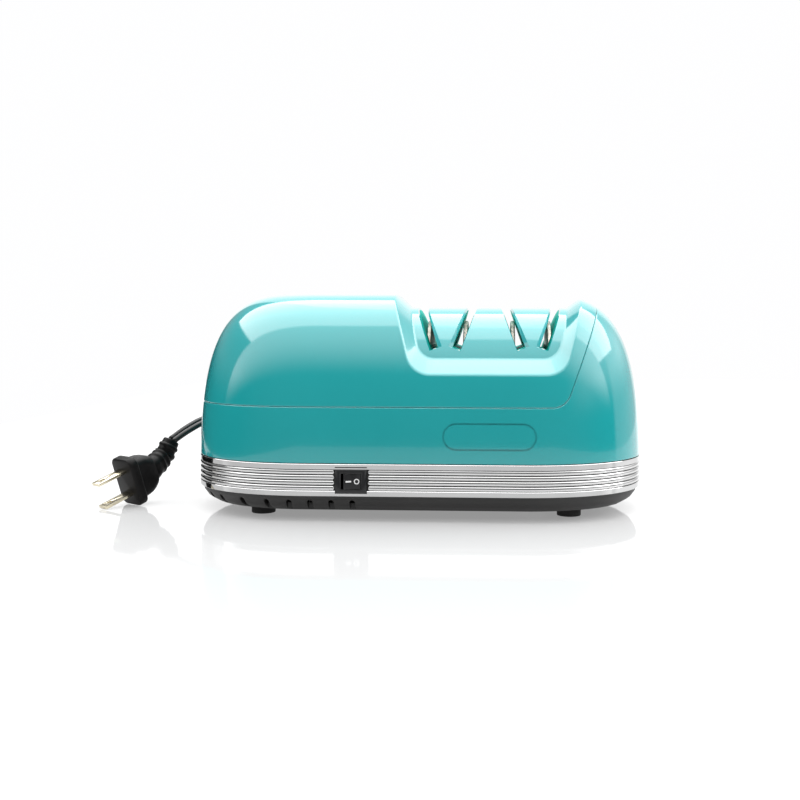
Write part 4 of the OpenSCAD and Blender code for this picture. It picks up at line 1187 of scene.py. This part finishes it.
softened("base_tray", 0.25, "base_moulding", angle=38)
softened("rubber_feet", 0.7, "foot_set", segments=3)
softened("switch_body", 0.35, "switch_frame", segments=3)
softened("switch_rocker", 0.3, "switch_rocker_cap", angle=20, segments=3)
marks = {"proud": 0.06, "bar": (-1.15, 2.5, 0.75), "ring": (2.75, 1.35, 0.85), "pivotY": -54.2, "mid": 2.6,
         "swing": 20.0}


# a printed mark on one half of the rocker; shape holds x and z on that half's face
def markMesh(name, shape, faces, tilt):
    pivotX = (opening["x"][0] + opening["x"][1]) / 2
    half = math.radians(marks["swing"] / 2)
    creaseX, creaseY = marks["mid"] * math.sin(half), -marks["mid"] * math.cos(half)
    middleZ = (bezelLow.z + bezelHigh.z) / 2 / mm
    points = []
    for lift in (-0.05, marks["proud"]):
        for x, z in shape:
            along = (x - creaseX) / math.cos(tilt)
            points.append((pivotX + creaseX + along * math.cos(tilt) - lift * math.sin(tilt),
                           marks["pivotY"] + creaseY + along * math.sin(tilt) - lift * math.cos(tilt),
                           middleZ + z))
    count = len(shape)
    sides = []
    solid = [tuple(f) for f in faces] + [tuple(i + count for i in reversed(f)) for f in faces]
    seen = {(a, b) for f in faces for a, b in zip(f, f[1:] + f[:1])}
    for a, b in seen:
        if (b, a) not in seen:
            sides.append((b, a, a + count, b + count))
    piece = meshObject(name, points, solid + sides, "mark_paint", "rocker", smooth=False)
    facingOut(piece.data)
    return piece


def makeMarks():
    x, w, h = marks["bar"]
    bar = [(x - w / 2, -h / 2), (x + w / 2, -h / 2), (x + w / 2, h / 2), (x - w / 2, h / 2)]
    markMesh("mark_on", bar, [[0, 1, 2, 3]], math.radians(marks["swing"]))
    x, outer, inner = marks["ring"]
    turn = np.linspace(0, 2 * math.pi, 32, endpoint=False)
    ring = [(x + r * math.cos(a), r * math.sin(a)) for r in (outer, inner) for a in turn]
    markMesh("mark_off", ring, [[i, (i + 1) % 32, 32 + (i + 1) % 32, 32 + i] for i in range(32)], 0.0)


makeMarks()
print("base and switch made")


studio = {
    "back": 0.95, "backLeft": -0.45, "backRight": 0.5, "front": 0.08, "side": 0.02, "glow": 1.9, "rightGlow": 0.7,
    "box": {"front": -0.374, "back": 0.96, "left": -1.35, "right": 2.4, "light": 3.5},
    "floor": {"x": (-0.42, 0.62), "y": (-1.3, 1.2), "tone": (0.36, 0.36, 0.362, 1), "light": 0.28, "rough": 0.06,
              "specular": 0.45},
    "glowFrom": -2.3, "backFar": 0.6, "plain": (0.995, 0.995, 1.0, 1),
}


# smooth rise from floor to ceiling as the value goes from low to high
def stepOn(tree, value, low, high, floor, ceiling):
    rise = tree.nodes.new("ShaderNodeMapRange")
    rise.interpolation_type = "SMOOTHSTEP"
    rise.inputs["From Min"].default_value, rise.inputs["From Max"].default_value = low, high
    rise.inputs["To Min"].default_value, rise.inputs["To Max"].default_value = floor, ceiling
    tree.links.new(value, rise.inputs["Value"])
    return rise.outputs["Result"]


def mathOn(tree, operation, first, second):
    node = tree.nodes.new("ShaderNodeMath")
    node.operation = operation
    for socket, value in zip(node.inputs, (first, second)):
        if isinstance(value, (int, float)):
            socket.default_value = value
        else:
            tree.links.new(value, socket)
    return node.outputs[0]


# a white backdrop, a dim room and one large softbox overhead, all by direction
def makeWorld():
    world = bpy.data.worlds.new("studio")
    bpy.context.scene.world = world
    world.use_nodes = True
    tree = world.node_tree
    back = tree.nodes["Background"]
    back.inputs["Color"].default_value = (1, 1, 1, 1)
    coord = tree.nodes.new("ShaderNodeTexCoord")
    split = tree.nodes.new("ShaderNodeSeparateXYZ")
    tree.links.new(coord.outputs["Generated"], split.inputs["Vector"])
    x, y, z = (split.outputs[axis] for axis in "XYZ")
    box, soft = studio["box"], 0.04
    height = mathOn(tree, "MAXIMUM", z, 0.001)
    along = mathOn(tree, "DIVIDE", y, height)
    across = mathOn(tree, "DIVIDE", x, height)
    lit = mathOn(tree, "MULTIPLY", stepOn(tree, along, box["front"] - soft, box["front"] + soft, 0, 1),
                 stepOn(tree, along, box["back"] - soft, box["back"] + soft, 1, 0))
    lit = mathOn(tree, "MULTIPLY", lit, stepOn(tree, across, box["right"] - soft, box["right"] + soft, 1, 0))
    lit = mathOn(tree, "MULTIPLY", lit, stepOn(tree, across, box["left"] - soft, box["left"] + soft, 0, 1))
    lit = mathOn(tree, "MULTIPLY", lit, stepOn(tree, z, 0.05, 0.1, 0, box["light"]))
    depth = mathOn(tree, "MAXIMUM", y, 0.001)
    slant = mathOn(tree, "DIVIDE", x, depth)
    behind = mathOn(tree, "MULTIPLY", stepOn(tree, slant, studio["backLeft"] - 0.1, studio["backLeft"], 0, 1),
                    stepOn(tree, slant, studio["backRight"], studio["backRight"] + 0.2, 1, studio["backFar"]))
    behind = mathOn(tree, "MULTIPLY", behind, stepOn(tree, y, 0.0, 0.1, 0, studio["back"]))
    total = mathOn(tree, "ADD", mathOn(tree, "ADD", behind, studio["side"]),
                   stepOn(tree, mathOn(tree, "MULTIPLY", y, -1), 0.3, 0.85, 0, studio["front"]))
    upper = stepOn(tree, z, 0.05, 0.3, 0, 1)
    glow = mathOn(tree, "MULTIPLY", stepOn(tree, along, studio["glowFrom"], box["front"], 0, studio["glow"]), upper)
    under = stepOn(tree, along, box["front"] - soft, box["front"] + soft, 1, 0.15)  # not behind the softbox
    total = mathOn(tree, "ADD", total, mathOn(tree, "MULTIPLY", glow, under))
    right = mathOn(tree, "MULTIPLY", stepOn(tree, x, 0.55, 0.85, 0, studio["rightGlow"]), upper)
    total = mathOn(tree, "ADD", total, right)
    tree.links.new(mathOn(tree, "ADD", total, lit), back.inputs["Strength"])
    plain = tree.nodes.new("ShaderNodeBackground")
    plain.inputs["Color"].default_value = studio["plain"]
    rays = tree.nodes.new("ShaderNodeLightPath")
    mix = tree.nodes.new("ShaderNodeMixShader")
    tree.links.new(rays.outputs["Is Camera Ray"], mix.inputs["Fac"])
    tree.links.new(back.outputs["Background"], mix.inputs[1])
    tree.links.new(plain.outputs["Background"], mix.inputs[2])
    tree.links.new(mix.outputs["Shader"], tree.nodes["World Output"].inputs["Surface"])


def makeStage():
    mesh = bpy.data.meshes.new("floor")
    (left, right), (front, back) = studio["floor"]["x"], studio["floor"]["y"]
    mesh.from_pydata([(left, front, 0), (right, front, 0), (right, back, 0), (left, back, 0)], [], [(0, 1, 2, 3)])
    floor = bpy.data.objects.new("floor", mesh)
    bpy.context.scene.collection.objects.link(floor)
    mat, _, shader = shaderOf("floor_gloss")
    shader.inputs["Base Color"].default_value = studio["floor"]["tone"]
    shader.inputs["Emission Color"].default_value = (1, 1, 1, 1)
    shader.inputs["Emission Strength"].default_value = studio["floor"]["light"]
    shader.inputs["Roughness"].default_value = studio["floor"]["rough"]
    shader.inputs["Specular IOR Level"].default_value = studio["floor"]["specular"]
    mesh.materials.append(mat)
    makeWorld()


makeStage()
bpy.context.scene.view_settings.view_transform = "Standard"
